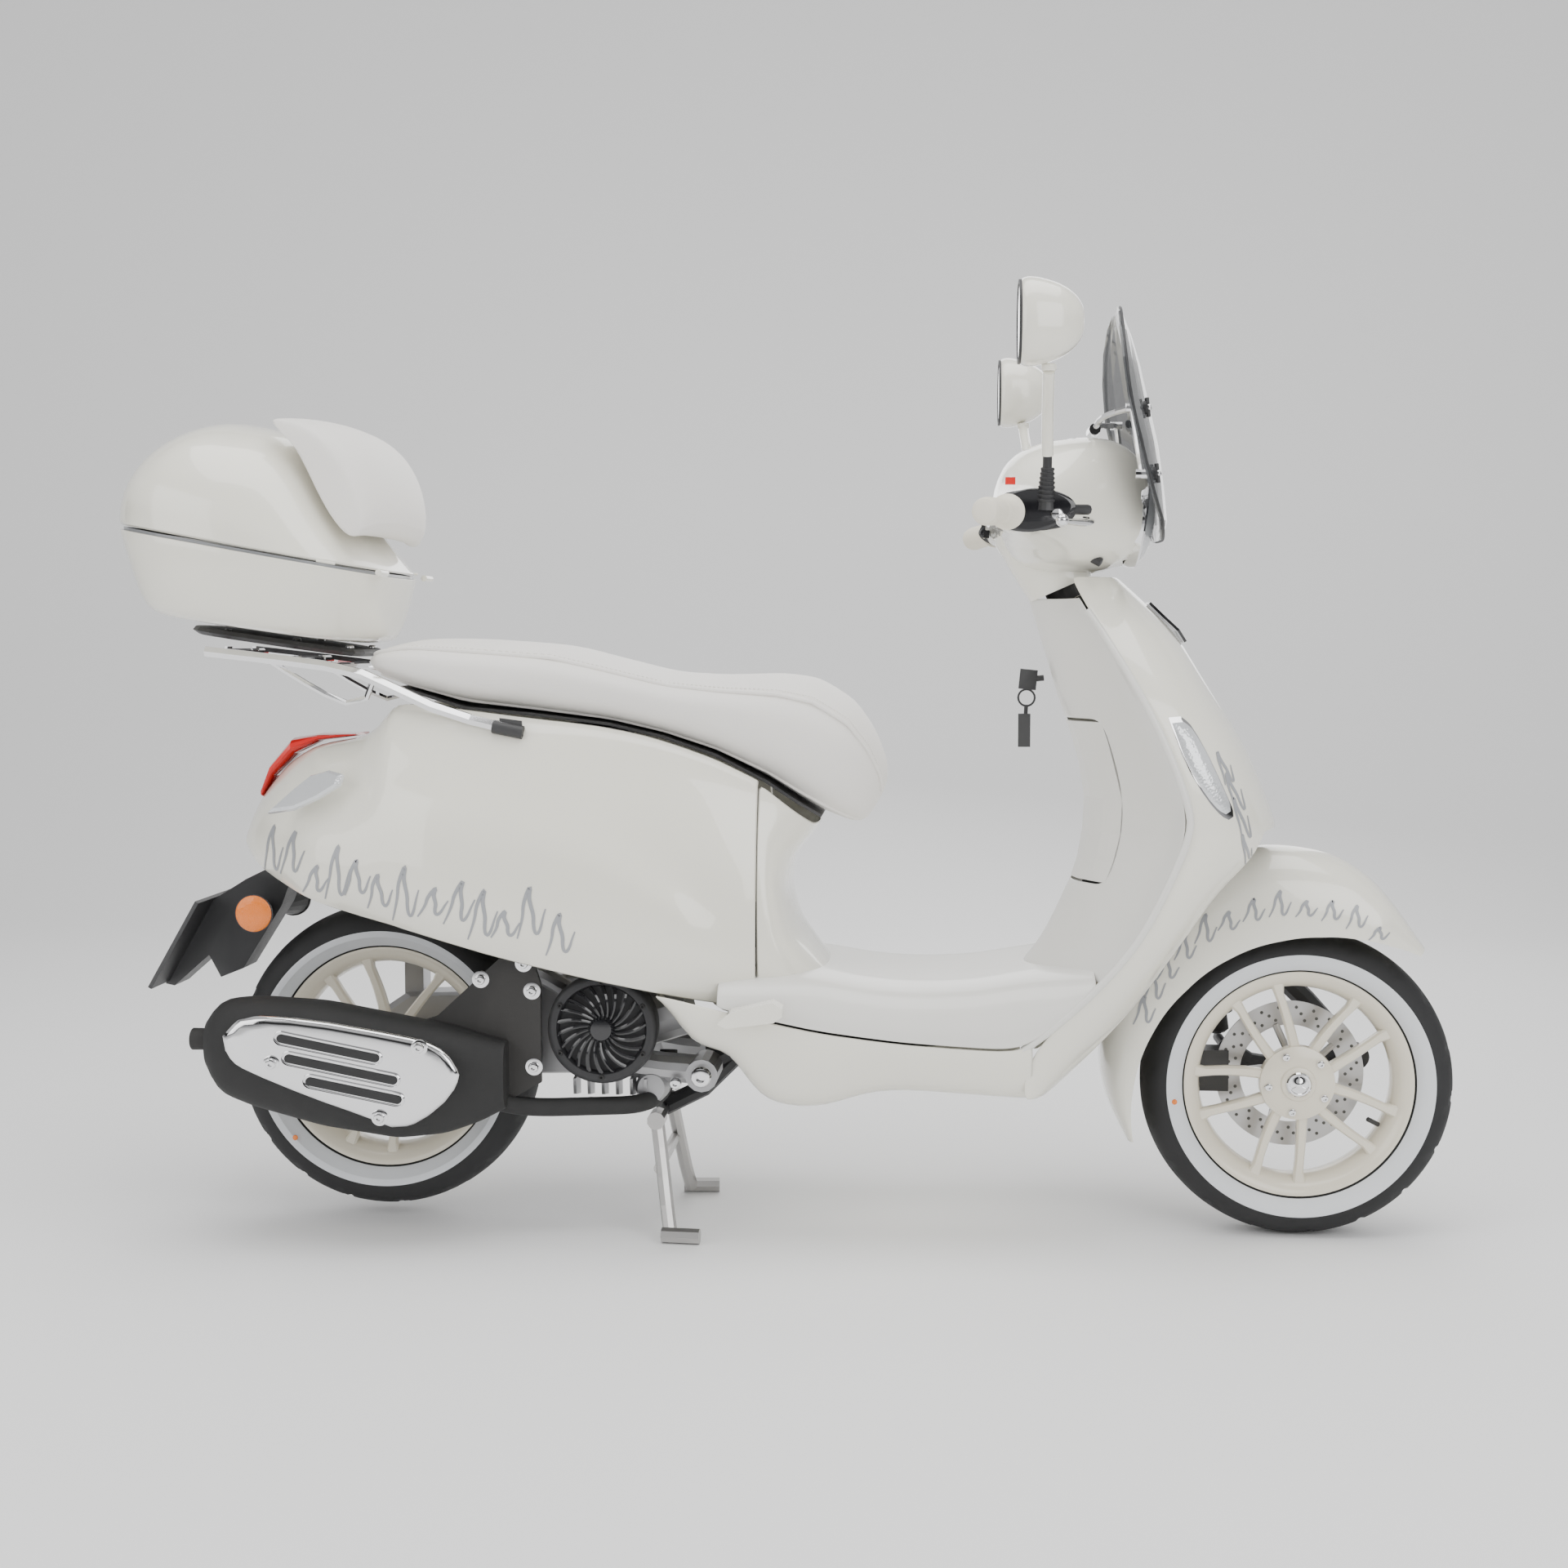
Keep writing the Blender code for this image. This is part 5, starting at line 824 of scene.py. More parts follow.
# ------------------------------------------------------------------ headset, bar
def headset_loop(y, x, z, a, b, count=44, power=2.6, spin=0.1):
    return [(px, y, pz) for px, pz in oval(x, z, a, b, count, power, spin)]


STATIONS = [(0.229, 0.934, 1.0535, 0.02, 0.019), (0.2305, 0.933, 1.0535, 0.023, 0.022),
            (0.225, 0.935, 1.054, 0.0275, 0.0262), (0.18, 0.95, 1.056, 0.0362, 0.0342),
            (0.13, 0.979, 1.064, 0.064, 0.056), (0.095, 1.008, 1.072, 0.0932, 0.0822),
            (0.05, 1.026, 1.074, 0.111, 0.0965), (0.0, 1.03, 1.074, 0.1138, 0.0994)]
bm = bmesh.new()
fine = []
cols = np.array(STATIONS[2:])
for y in np.linspace(0.225, 0.0, 26):
    fine.append([float(y)] + columns_at(cols * (-1, 1, 1, 1, 1), -y, 4))
for _ in range(3):
    held = [list(r) for r in fine]
    for i in range(1, len(fine) - 1):
        for k in range(1, 5):
            fine[i][k] = (held[i - 1][k] + 2 * held[i][k] + held[i + 1][k]) / 4
rows = [list(STATIONS[0]), list(STATIONS[1])] + fine
loops = [headset_loop(-y, x, z, a, b) for y, x, z, a, b in rows]
loops += [headset_loop(y, x, z, a, b) for y, x, z, a, b in reversed(rows[:-1])]
LAMP = Vector((1.08, 0.0, 1.058))
LOOK = Vector((0.09, 0.0, -0.012)).normalized()
rings = [ring(bm, loop) for loop in loops]
skin(bm, rings)


def in_lamp(p):
    d = Vector(p) - LAMP
    along = d.dot(LOOK)
    return along > 0 and (d - LOOK * along).length < 0.0672


def in_gauge(p):
    return abs(p.y) < 0.05 and p.z > 1.1 and abs(p.x - 0.986) < 0.052


drop = [f for f in bm.faces if in_lamp(f.calc_center_median()) or in_gauge(f.calc_center_median())]
bmesh.ops.delete(bm, geom=drop, context="FACES")
for e in [e for e in bm.edges if len(e.link_faces) == 1]:
    for v in e.verts:
        d = v.co - LAMP
        along = d.dot(LOOK)
        off = d - LOOK * along
        if along > 0 and 0.04 < off.length < 0.095 and v.co.x > 1.06:
            v.co += off.normalized() * (0.067 - off.length)
piece("headset_shell", bm, "ivory", "steering", ["headset_cover"], angle=50)
# neck below the headset
UP = Vector((-0.402, 0.0, 0.916)).normalized()
FOOT = Vector((1.006, 0.0, 0.97))
ACROSS = Vector((UP.z, 0.0, -UP.x))
bm = bmesh.new()
loft(bm, [[FOOT + UP * t + ACROSS * u + Vector((0, v, 0)) for u, v in oval(0, 0, rx, ry, 48, 2.2)]
          for t, rx, ry in ((-0.015, 0.044, 0.046), (-0.0165, 0.049, 0.051),
                            (0.03, 0.0565, 0.0565), (0.056, 0.059, 0.058),
                            (0.08, 0.0625, 0.0605), (0.09, 0.06, 0.058))])
piece("headset_neck", bm, "ivory", "steering")

# headlight: chrome bezel, reflector, lens with fine flutes
bm = bmesh.new()
c0 = Vector((1.085, 0.0, 1.0573))
revolve(bm, [(0.06, 0.044), (0.0655, 0.046), (0.0685, 0.043), (0.069, 0.034), (0.066, 0.026),
             (0.06, 0.03)], c0, LOOK, 96)
piece("headlight_bezel", bm, "chrome", "steering")
bm = bmesh.new()
turned(bm, c0, LOOK, [(0.0, 0.028), (0.006, 0.042), (0.018, 0.054), (0.036, 0.0595),
                      (0.035, 0.059), (0.017, 0.053), (0.006, 0.041), (0.0015, 0.026)], 72)
piece("headlight_reflector", bm, "chrome", "steering")
bm = bmesh.new()
turned(bm, c0 + LOOK * 0.004, LOOK,
       [(0.0, 0.005), (0.016, 0.008), (0.026, 0.007), (0.03, 0.003)], 24)
piece("headlight_bulb", bm, "white", "steering")
bm = bmesh.new()
turned(bm, c0, LOOK, [(0.04, 0.06), (0.046, 0.0605), (0.054, 0.05), (0.0595, 0.036),
                      (0.0625, 0.02), (0.0635, 0.004), (0.0615, 0.004), (0.06, 0.02),
                      (0.057, 0.036), (0.051, 0.049), (0.0425, 0.058)], 96)
piece("headlight_lens", bm, "lens", "steering", ["headlight"])

# instrument: bezel, dial and its marks on the sloping face
G = Vector((0.988, 0.0, 1.144))
spin = -0.35
gx = Vector((math.cos(spin), 0.0, -math.sin(spin)))
gz = Vector((math.sin(spin), 0.0, math.cos(spin)))


def on_gauge(u, v, h):
    return G + gx * u + Vector((0, v, 0)) + gz * h


bm = bmesh.new()
rings = [ring(bm, [on_gauge(u, v, h) for u, v in oval(0, 0, a, b, 64, 2.6)])
         for a, b, h in ((0.051, 0.0535, 0.005), (0.051, 0.0535, 0.0125),
                         (lerp(0.051, 0.043, 0.5), lerp(0.0535, 0.0455, 0.5), 0.014),
                         (0.043, 0.0455, 0.0125), (0.043, 0.0455, 0.005))]
skin(bm, rings + rings[:1])
piece("gauge_bezel", bm, "chrome", "steering")
bm = bmesh.new()
loft(bm, [[on_gauge(u, v, h) for u, v in oval(0, 0, 0.044, 0.0465, 64, 2.6)]
          for h in (0.004, 0.0075)])
piece("gauge_dial", bm, "dial", "steering")
bm = bmesh.new()
for k in range(13):
    t = math.radians(220 - 260 * k / 12)
    r0 = 0.028 if k % 2 else 0.025
    a = on_gauge(r0 * math.sin(t) * 1.0, -r0 * math.cos(t), 0.0078)
    b = on_gauge(0.032 * math.sin(t), -0.032 * math.cos(t), 0.0078)
    rod(bm, a, b, 0.0006, 6)
rod(bm, on_gauge(0, 0, 0.008), on_gauge(-0.018, -0.02, 0.008), 0.0009, 8)
turned(bm, on_gauge(0, 0, 0.0076), gz, [(0, 0.0035), (0.0014, 0.003)], 20)
piece("gauge_marks", bm, "redtab", "steering")

# grips, mirrors, pods and levers
bar = np.array([(0.1, 0.962, 1.06), (0.236, 0.929, 1.053), (0.362, 0.889, 1.046)])


def along_bar(y):
    x, z = columns_at(bar, y, 2)
    return Vector((x, y, z))


MIRROR_Y, MIRROR_Z = 0.3685, 1.2865


def mirror_loop(side, x, ry, rz):
    """A round-cornered loop about the middle of the mirror on one side."""
    return [(x, side * MIRROR_Y + u, MIRROR_Z + w) for u, w in oval(0, 0, ry, rz, 56, 2.35)]


for tag, side in SIDES:
    start = along_bar(0.25)
    end = along_bar(0.362)
    start.y *= side
    end.y *= side
    axis = (end - start).normalized()
    bm = bmesh.new()
    steps = [(0.0, 0.0114), (0.0, 0.0225), (0.0012, 0.0243), (0.0036, 0.0245), (0.005, 0.0228),
             (0.0085, 0.0192)]
    for k in range(22):
        x0 = 0.0105 + k * 0.0042
        r = 0.0182 - 0.001 * math.sin(math.pi * min(1.0, (x0 - 0.01) / 0.045)) \
            + 0.0006 * max(0.0, (x0 - 0.055) / 0.05)
        steps += [(x0, r), (x0 + 0.0012, r - 0.0007), (x0 + 0.0026, r - 0.0007), (x0 + 0.0036, r)]
    steps += [(0.1045, 0.0186), (0.11, 0.0181), (0.1145, 0.016), (0.116, 0.0125),
              (0.1164, 0.0114)]
    turned(bm, start, axis, steps, 40)
    piece(tag + "_grip_cover", bm, "grip", "throttle" if side < 0 else "steering",
          ["throttle_grip" if side < 0 else "left_grip"])
    # mirror boot with bellows, ivory stem and head
    bm = bmesh.new()
    foot = Vector((0.976, side * 0.2365, 1.058))
    steps = []
    for k in range(8):
        h = 0.008 + 0.006 * k
        r = lerp(0.0125, 0.0088, k / 7)
        steps += [(h, r - 0.0004), (h + 0.0014, r + 0.0006), (h + 0.003, r + 0.0006),
                  (h + 0.0044, r - 0.0012)]
    turned(bm, foot, (0.002, side * 0.0035, 0.052), steps, 28)
    piece(tag + "_mirror_boot", bm, "black", "steering")
    bm = bmesh.new()
    stem = smooth([(0.976, side * 0.2365, 1.058), (0.978, side * 0.24, 1.11),
                   (0.976, side * 0.262, 1.17), (0.973, side * 0.33, 1.212),
                   (0.972, side * 0.352, 1.227)], 26, 3)[8:]
    sweep(bm, stem, 0.008, 16)
    turned(bm, (0.972, side * 0.352, 1.226), (0, 0, 1), [(0.0, 0.0085), (0.002, 0.0098),
                                                     (0.0075, 0.0098), (0.009, 0.0085)], 20)
    piece(tag + "_mirror_stem_paint", bm, "ivory", "steering")
    # round-cornered mirror head with a black-edged glass on the rider's side
    bm = bmesh.new()
    head = [(0.9345, 0.044, 0.049), (0.933, 0.047, 0.052), (0.938, 0.0515, 0.056),
            (0.948, 0.053, 0.0565), (0.96, 0.0512, 0.0545), (0.976, 0.0462, 0.05),
            (0.99, 0.0405, 0.044), (1.002, 0.032, 0.0355), (1.011, 0.022, 0.025),
            (1.0158, 0.011, 0.013)]
    loft(bm, [mirror_loop(side, *station) for station in head])
    piece(tag + "_mirror_shell", bm, "ivory", "mirror_" + tag, ["mirror_head_" + tag], levels=1)
    bm = bmesh.new()
    skin(bm, [ring(bm, mirror_loop(side, x, ry, rz)) for ry, rz, x in (
        (0.048, 0.053, 0.9345), (0.048, 0.053, 0.9312), (0.043, 0.048, 0.9312),
        (0.0425, 0.0475, 0.933))])
    piece(tag + "_mirror_edge", bm, "black", "mirror_" + tag)
    bm = bmesh.new()
    loft(bm, [mirror_loop(side, x, 0.0432, 0.0482) for x in (0.9335, 0.932)])
    piece(tag + "_mirror_glass", bm, "mirror", "mirror_" + tag)
    # almond-shaped switch pod with stepped rim
    bm = bmesh.new()
    loops = []
    for y, grow in ((0.2424, 0.9), (0.2418, 0.98), (0.2404, 1.03), (0.233, 1.04), (0.2316, 1.0),
                    (0.231, 0.9)):
        c = along_bar(0.236)
        loops.append([(c.x + 0.028 + u, side * y, c.z + 0.002 + w)
                      for u, w in oval(0, 0, 0.058 * grow, 0.0285 * grow, 56, 1.75, 0.1)])
    loft(bm, loops)
    piece(tag + "_pod_face", bm, "gloss", "steering")
    bm = bmesh.new()
    c = along_bar(0.236)
    turned(bm, (c.x + 0.062, side * 0.2405, c.z - 0.004), (0, side, 0),
           [(0, 0.0088), (0.004, 0.0086), (0.0065, 0.007), (0.0075, 0.003)], 24)
    bolt(bm, (c.x + 0.078, side * 0.2345, c.z + 0.004), (0, side, 0), 0.0035, 0.004)
    piece(tag + "_lever_pivot", bm, "chrome", "steering")
    # polished lever blade with a ball end
    bm = bmesh.new()
    blade = smooth([(1.03, side * 0.2075, 1.043), (1.0375, side * 0.226, 1.041),
                    (1.034, side * 0.25, 1.038), (1.025, side * 0.276, 1.0352),
                    (1.011, side * 0.305, 1.0342), (1.0, side * 0.33, 1.034),
                    (0.993, side * 0.352, 1.0345)], 30, 3)
    sweep(bm, blade, [lerp(0.0078, 0.0052, t) for t in np.linspace(0, 1, 30)], 14, 0.72)
    bmesh.ops.create_uvsphere(bm, u_segments=20, v_segments=12, radius=0.0086)
    for v in bm.verts[-(20 * 11 + 2):]:
        v.co += Vector((0.991, side * 0.352, 1.0345))
    piece(tag + "_lever_polish", bm, "chrome", "lever_" + tag, ["brake_lever_" + tag])

# windscreen: black beaded edge, clamps and the sleeve of its support rod
SCREEN = [(1.128, 1.024, 0.05), (1.134, 1.05, 0.12), (1.129, 1.1, 0.16),
          (1.12, 1.16, 0.18), (1.107, 1.215, 0.18), (1.094, 1.27, 0.165),
          (1.08, 1.315, 0.135), (1.068, 1.345, 0.09), (1.062, 1.358, 0.045)]
SCREEN_X = [(z, x) for x, z, _ in SCREEN]


def on_screen(y, z):
    x = curve_at(SCREEN_X, z)
    return Vector((x + 0.03 - 1.35 * y * y, y, z))


edge = [(0.0, 1.024)] + [(h, z) for _, z, h in SCREEN] + [(0.0, 1.3575)]
half_edge = smooth([(0.0, y, z) for y, z in edge], 40, 2)
rim = [on_screen(p[1] * 0.985, min(1.356, max(1.025, p[2]))) for p in half_edge]
rim += [Vector((p.x, -p.y, p.z)) for p in reversed(rim[1:-1])]
bm = bmesh.new()
sweep(bm, rim + [rim[0], rim[1]], 0.0024, 8)
piece("screen_beading", bm, "black", "steering")
CLAMPS = [(on_screen(s * y, z), Vector((1.0, 2.7 * s * y, 0.12)).normalized())
          for s in (-1.0, 1.0) for y, z in ((0.118, 1.205), (0.132, 1.112))]
bm = bmesh.new()
for p, n in CLAMPS:
    turned(bm, p - n * 0.001, n, [(0.0, 0.0095), (0.0035, 0.0095), (0.0045, 0.008)], 20)
    a, u, w = frame_of(n)
    for arm in (u, w, -u, -w):
        rod(bm, p + n * 0.0035, p + n * 0.0035 + arm * 0.0135, 0.0032, 8)
piece("screen_clamps", bm, "black", "steering")
bm = bmesh.new()
for p, n in CLAMPS:
    bolt(bm, p + n * 0.004, n, 0.0045, 0.004)
piece("screen_clamp_screws", bm, "chrome", "steering")
bm = bmesh.new()
for s in (-1.0, 1.0):
    rod(bm, (1.026, s * 0.07, 1.012), (1.064, s * 0.085, 0.99), 0.0068, 14)
piece("screen_rod_sleeve", bm, "black", "steering")


# ---------------------------------------------------------------------- fender
CREST = {200: 0.262, 185: 0.281, 165: 0.296, 145: 0.315, 125: 0.336, 105: 0.353, 90: 0.3435,
         76: 0.331, 67: 0.303, 57: 0.281, 48: 0.264}
SKIRT = {200: 0.258, 195: 0.255, 180: 0.245, 160: 0.232, 140: 0.222, 120: 0.218, 100: 0.218,
         85: 0.222, 72: 0.23, 60: 0.24, 48: 0.254}


def table(d, deg):
    k = sorted(d)
    return float(np.interp(deg, k, [d[i] for i in k]))


def soft_table(d, deg, reach=7.0):
    """The table's value, averaged over a few degrees so that the crest runs smooth."""
    return sum(table(d, deg + o) for o in (-reach, -reach / 2, 0, reach / 2, reach)) / 5


def fender_point(deg, across, lift=0.0):
    """across from -1 (right skirt) over 0 (crest) to 1 (left skirt)."""
    half = float(np.interp(deg, [48, 66, 180, 200], [0.05, 0.084, 0.084, 0.068]))
    crest, skirt = soft_table(CREST, deg), table(SKIRT, deg)
    t = abs(across) * math.pi / 2
    r = skirt + (crest - skirt) * max(0.0, math.cos(t)) ** 0.75
    y = math.copysign(half * math.sin(t) ** 0.75, across) if across else 0.0
    a = math.radians(deg)
    return Vector((1.365 + (r + lift * math.cos(t)) * math.cos(a), y + lift * math.sin(t)
                   * (1 if across >= 0 else -1), 0.2315 + (r + lift * math.cos(t)) * math.sin(a)))


bm = bmesh.new()
grid = [[fender_point(deg, a, 0.0012) for a in np.linspace(-1, 1, 49)]
        for deg in np.linspace(48.5, 199.5, 90)]
shell(bm, grid, 0.003)
piece("fender_skin", bm, "ivory", "steering", ["front_fender"], angle=50)

# ------------------------------------------------------------------ suspension
def damper(tag, low, high, body, node, coil, turns):
    low, high = Vector(low), Vector(high)
    axis = (high - low).normalized()
    span = (high - low).length
    bm = bmesh.new()
    turned(bm, low, axis, [(0.0, 0.01), (0.004, 0.016), (0.03, 0.017), (0.034, 0.013),
                           (span * 0.5, 0.013), (span * 0.5 + 0.002, 0.0075),
                           (span - 0.012, 0.0075), (span - 0.004, 0.012), (span, 0.01)], 28)
    body_piece = piece(tag + "_damper_tube", bm, "soot", body, [node])
    a, u, w = frame_of(axis)
    bm = bmesh.new()
    path = []
    n = int(turns * 22)
    for k in range(n + 1):
        t = 2 * math.pi * turns * k / n
        h = lerp(0.036, span - 0.022, k / n)
        path.append(low + a * h + u * (coil * math.cos(t)) + w * (coil * math.sin(t)))
    sweep(bm, path, 0.0042, 8)
    spring = piece(tag + "_coil_spring", bm, "steel" if tag == "front" else "chrome", body)
    bm = bmesh.new()
    for h in (0.03, span - 0.02):
        turned(bm, low + a * h, axis, [(0.0, coil * 0.9), (0.001, coil + 0.006),
                                       (0.005, coil + 0.006), (0.006, coil * 0.9)], 28)
    seats = piece(tag + "_spring_seats", bm, "black", body)
    for part in (body_piece, spring, seats):
        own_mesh(part)


damper("front", (1.2715, 0.126, 0.272), (1.2345, 0.126, 0.481), "steering", "front_shock",
       0.02, 8)
damper("rear", (0.01, 0.13, 0.391), (0.03, 0.12, 0.647), "chassis", "rear_shock",
       0.023, 9)


# ----------------------------------------------------------- engine and exhaust
bm = bmesh.new()
FAN = (0.35, -0.1134, 0.318)
turned(bm, FAN, (0, -1, 0), [(0.0, 0.0788), (0.03, 0.0806), (0.038, 0.0796), (0.0425, 0.076),
                             (0.044, 0.072), (0.0435, 0.066), (0.04, 0.064), (0.034, 0.062),
                             (0.0335, 0.055), (0.0335, 0.01)], 72)
piece("fan_shroud", bm, "black", "engine", ["fan_cover"])
bm = bmesh.new()
fc = Vector(FAN)
for k in range(22):
    t = 2 * math.pi * k / 22
    path = []
    for s in np.linspace(0, 1, 7):
        r = lerp(0.0165, 0.064, s)
        ang = t + 0.42 * s
        path.append(fc + Vector((r * math.cos(ang), -0.04 - 0.006 * math.sin(math.pi * s),
                                 r * math.sin(ang))))
    sweep(bm, path, [0.0022 + 0.0012 * s for s in np.linspace(0, 1, 7)], 6)
turned(bm, fc + Vector((0, -0.036, 0)), (0, -1, 0), [(0.0, 0.019), (0.008, 0.0185),
                                                  (0.0125, 0.015), (0.0135, 0.008)], 36)
piece("fan_vanes", bm, "gloss", "engine")
bm = bmesh.new()
for k in range(6):
    t = math.radians(30 + 60 * k)
    bolt(bm, fc + Vector((0.0695 * math.cos(t), -0.043, 0.0695 * math.sin(t))), (0, -1, 0),
         0.004, 0.0045)
piece("fan_screws", bm, "soot", "engine")

MUFFLER = [(-0.22, 0.296, 0.036, 0.034), (-0.219, 0.2957, 0.044, 0.04),
           (-0.2, 0.291, 0.068, 0.052), (-0.15, 0.284, 0.08, 0.058),
           (-0.05, 0.268, 0.0905, 0.0605), (0.06, 0.25, 0.0885, 0.0585),
           (0.13, 0.248, 0.0785, 0.0505), (0.18, 0.25, 0.0625, 0.0365),
           (0.215, 0.255, 0.0485, 0.0265)]
bm = bmesh.new()
m = np.array(MUFFLER)
xs = list(np.linspace(-0.22, 0.215, 48))
loops = []
for x in xs:
    z, rz, ry = columns_at(m, x, 3)
    loops.append([(x, -0.176 + u, z + w) for u, w in oval(0, 0, ry, rz, 48, 2.5)])
for _ in range(2):
    held = [list(l) for l in loops]
    for i in range(1, len(loops) - 1):
        loops[i] = [tuple((a + 2 * b + c) / 4 for a, b, c in zip(p, q, r))
                    for p, q, r in zip(held[i - 1], held[i], held[i + 1])]
loft(bm, loops)
piece("muffler_can", bm, "soot", "engine", ["muffler"])
bm = bmesh.new()
sweep(bm, smooth([(0.19, -0.17, 0.215), (0.24, -0.15, 0.2), (0.34, -0.135, 0.201),
                  (0.4, -0.128, 0.202), (0.425, -0.075, 0.205), (0.43, -0.03, 0.225),
                  (0.43, -0.02, 0.262)], 40, 2), 0.0133, 20)
a = Vector((-0.205, -0.176, 0.3))
turned(bm, a, (-1, 0, 0), [(0.0, 0.0155), (0.042, 0.016), (0.043, 0.015), (0.0425, 0.0125),
                           (0.01, 0.012)], 28)
plate = [(0.06, 0.32), (0.11, 0.335), (0.18, 0.4), (0.206, 0.424), (0.246, 0.434),
         (0.262, 0.385), (0.262, 0.24), (0.2, 0.205), (0.15, 0.225)]
loft(bm, [[(x, y, z) for x, z in plate] for y in (-0.1515, -0.1605)])
piece("exhaust_pipe", bm, "soot", "engine")
bm = bmesh.new()
for x, z in ((0.175, 0.39), (0.238, 0.414), (0.25, 0.374), (0.252, 0.263), (0.13, 0.245)):
    turned(bm, (x, -0.16, z), (0, -1, 0), [(0.0, 0.0125), (0.0015, 0.0125), (0.0018, 0.01)], 24)
    bolt(bm, (x, -0.1612, z), (0, -1, 0), 0.0078, 0.0075)
bolt(bm, (0.492, -0.128, 0.246), (0, -1, 0), 0.016, 0.013)
bolt(bm, (0.452, -0.112, 0.232), (0, -1, 0), 0.009, 0.008)
bolt(bm, (0.33, -0.132, 0.205), (0, -1, 0), 0.009, 0.008)
piece("engine_bolts", bm, "chrome", "engine")

# chrome heat shield with three raised louvres round their slots
shield = smooth([(x, 0.0, z) for x, z in [(-0.178, 0.318), (-0.15, 0.348), (-0.06, 0.345),
                 (0.08, 0.322), (0.126, 0.311), (0.15, 0.29), (0.164, 0.262), (0.131, 0.218),
                 (0.077, 0.186), (0.019, 0.208), (-0.051, 0.231), (-0.145, 0.268),
                 (-0.172, 0.285)]] + [(-0.178, 0.0, 0.318)], 73, 1)[:-1]
sc = sum((Vector(p) for p in shield), Vector()) / len(shield)
bm = bmesh.new()
rings = []
for grow, y in ((1.0, -0.2355), (1.012, -0.2385), (1.006, -0.243), (0.975, -0.2462),
                (0.93, -0.2474), (0.8, -0.248), (0.6, -0.2484), (0.35, -0.2486),
                (0.12, -0.2486)):
    rings.append(ring(bm, [(lerp(sc.x, p[0], grow), y, lerp(sc.z, p[2], grow))
                           for p in shield]))
skin(bm, rings)
bm.faces.new(rings[-1])
piece("shield_polish", bm, "chrome", "engine", ["heat_shield"], angle=60)
lean = 0.19
along = Vector((math.cos(lean), 0, -math.sin(lean)))
upward = Vector((math.sin(lean), 0, math.cos(lean)))
slots = []
for dx, dz, length in ((-0.02, 0.036, 0.15), (-0.002, 0.006, 0.165), (0.016, -0.024, 0.14)):
    slots.append((Vector((dx - 0.005, -0.2488, 0.268 + dz)), length))
for name, look, grow, high, out in (("shield_louvres", "chrome", 0.005, 0.005, 0.0045),
                                    ("shield_slots", "rubber", 0.0, 0.0, 0.0012)):
    bm = bmesh.new()
    for mid, length in slots:
        half, tall = length / 2 + grow, 0.006 + high
        outline = []
        for s, a0 in ((1.0, -90), (-1.0, 90)):
            for t in np.linspace(a0, a0 + 180, 11):
                r = math.radians(t)
                outline.append((s * (half - tall) + tall * math.cos(r), tall * math.sin(r)))
        if name == "shield_slots":
            loft(bm, [[mid + along * u + upward * w + Vector((0, -d, 0)) for u, w in outline]
                      for d in (-0.003, out)])
        else:
            rings = []
            for g, d in ((1.0, -0.004), (1.0, 0.0008), (0.93, out), (0.84, out), (0.78, 0.0006),
                         (0.78, -0.004)):
                inset = tall * (1 - g)
                rings.append(ring(bm, [mid + along * math.copysign(abs(u) - inset, u)
                                       + upward * (w * g) + Vector((0, -d, 0))
                                       for u, w in outline]))
            skin(bm, rings + rings[:1])
    piece(name, bm, look, "engine")
bm = bmesh.new()
for x, z in ((-0.107, 0.281), (0.106, 0.307), (0.048, 0.206)):
    turned(bm, (x, -0.247, z), (0, -1, 0), [(0.0, 0.0118), (0.0022, 0.0118), (0.0028, 0.01)], 28)
    bolt(bm, (x, -0.249, z), (0, -1, 0), 0.008, 0.006)
piece("shield_screws", bm, "chrome", "engine")
# crankcase fins and a cast boss in front of the fan
bm = bmesh.new()
for k in range(6):
    x = 0.3 + 0.021 * k
    loft(bm, [[(x + d, y, z) for y, z in ((-0.07, 0.205), (-0.108, 0.212), (-0.112, 0.236),
                                         (-0.07, 0.24))] for d in (0.0, 0.0045)])
turned(bm, (0.415, -0.07, 0.222), (0, -1, 0), [(0.0, 0.026), (0.03, 0.024), (0.036, 0.02),
                                                 (0.037, 0.008)], 28)
piece("crankcase_ribs", bm, "alloy", "engine")


# ------------------------------------------------- printed tongues and trim
def surface_of(*names):
    """A ray-cast tree over the finished pieces, in world coordinates."""
    graph = bpy.context.evaluated_depsgraph_get()
    verts, faces = [], []
    for name in names:
        obj = bpy.data.objects[name].evaluated_get(graph)
        mesh = obj.to_mesh()
        base = len(verts)
        verts += [obj.matrix_world @ v.co for v in mesh.vertices]
        faces += [[base + i for i in p.vertices] for p in mesh.polygons]
        obj.to_mesh_clear()
    return BVHTree.FromPolygons(verts, faces)


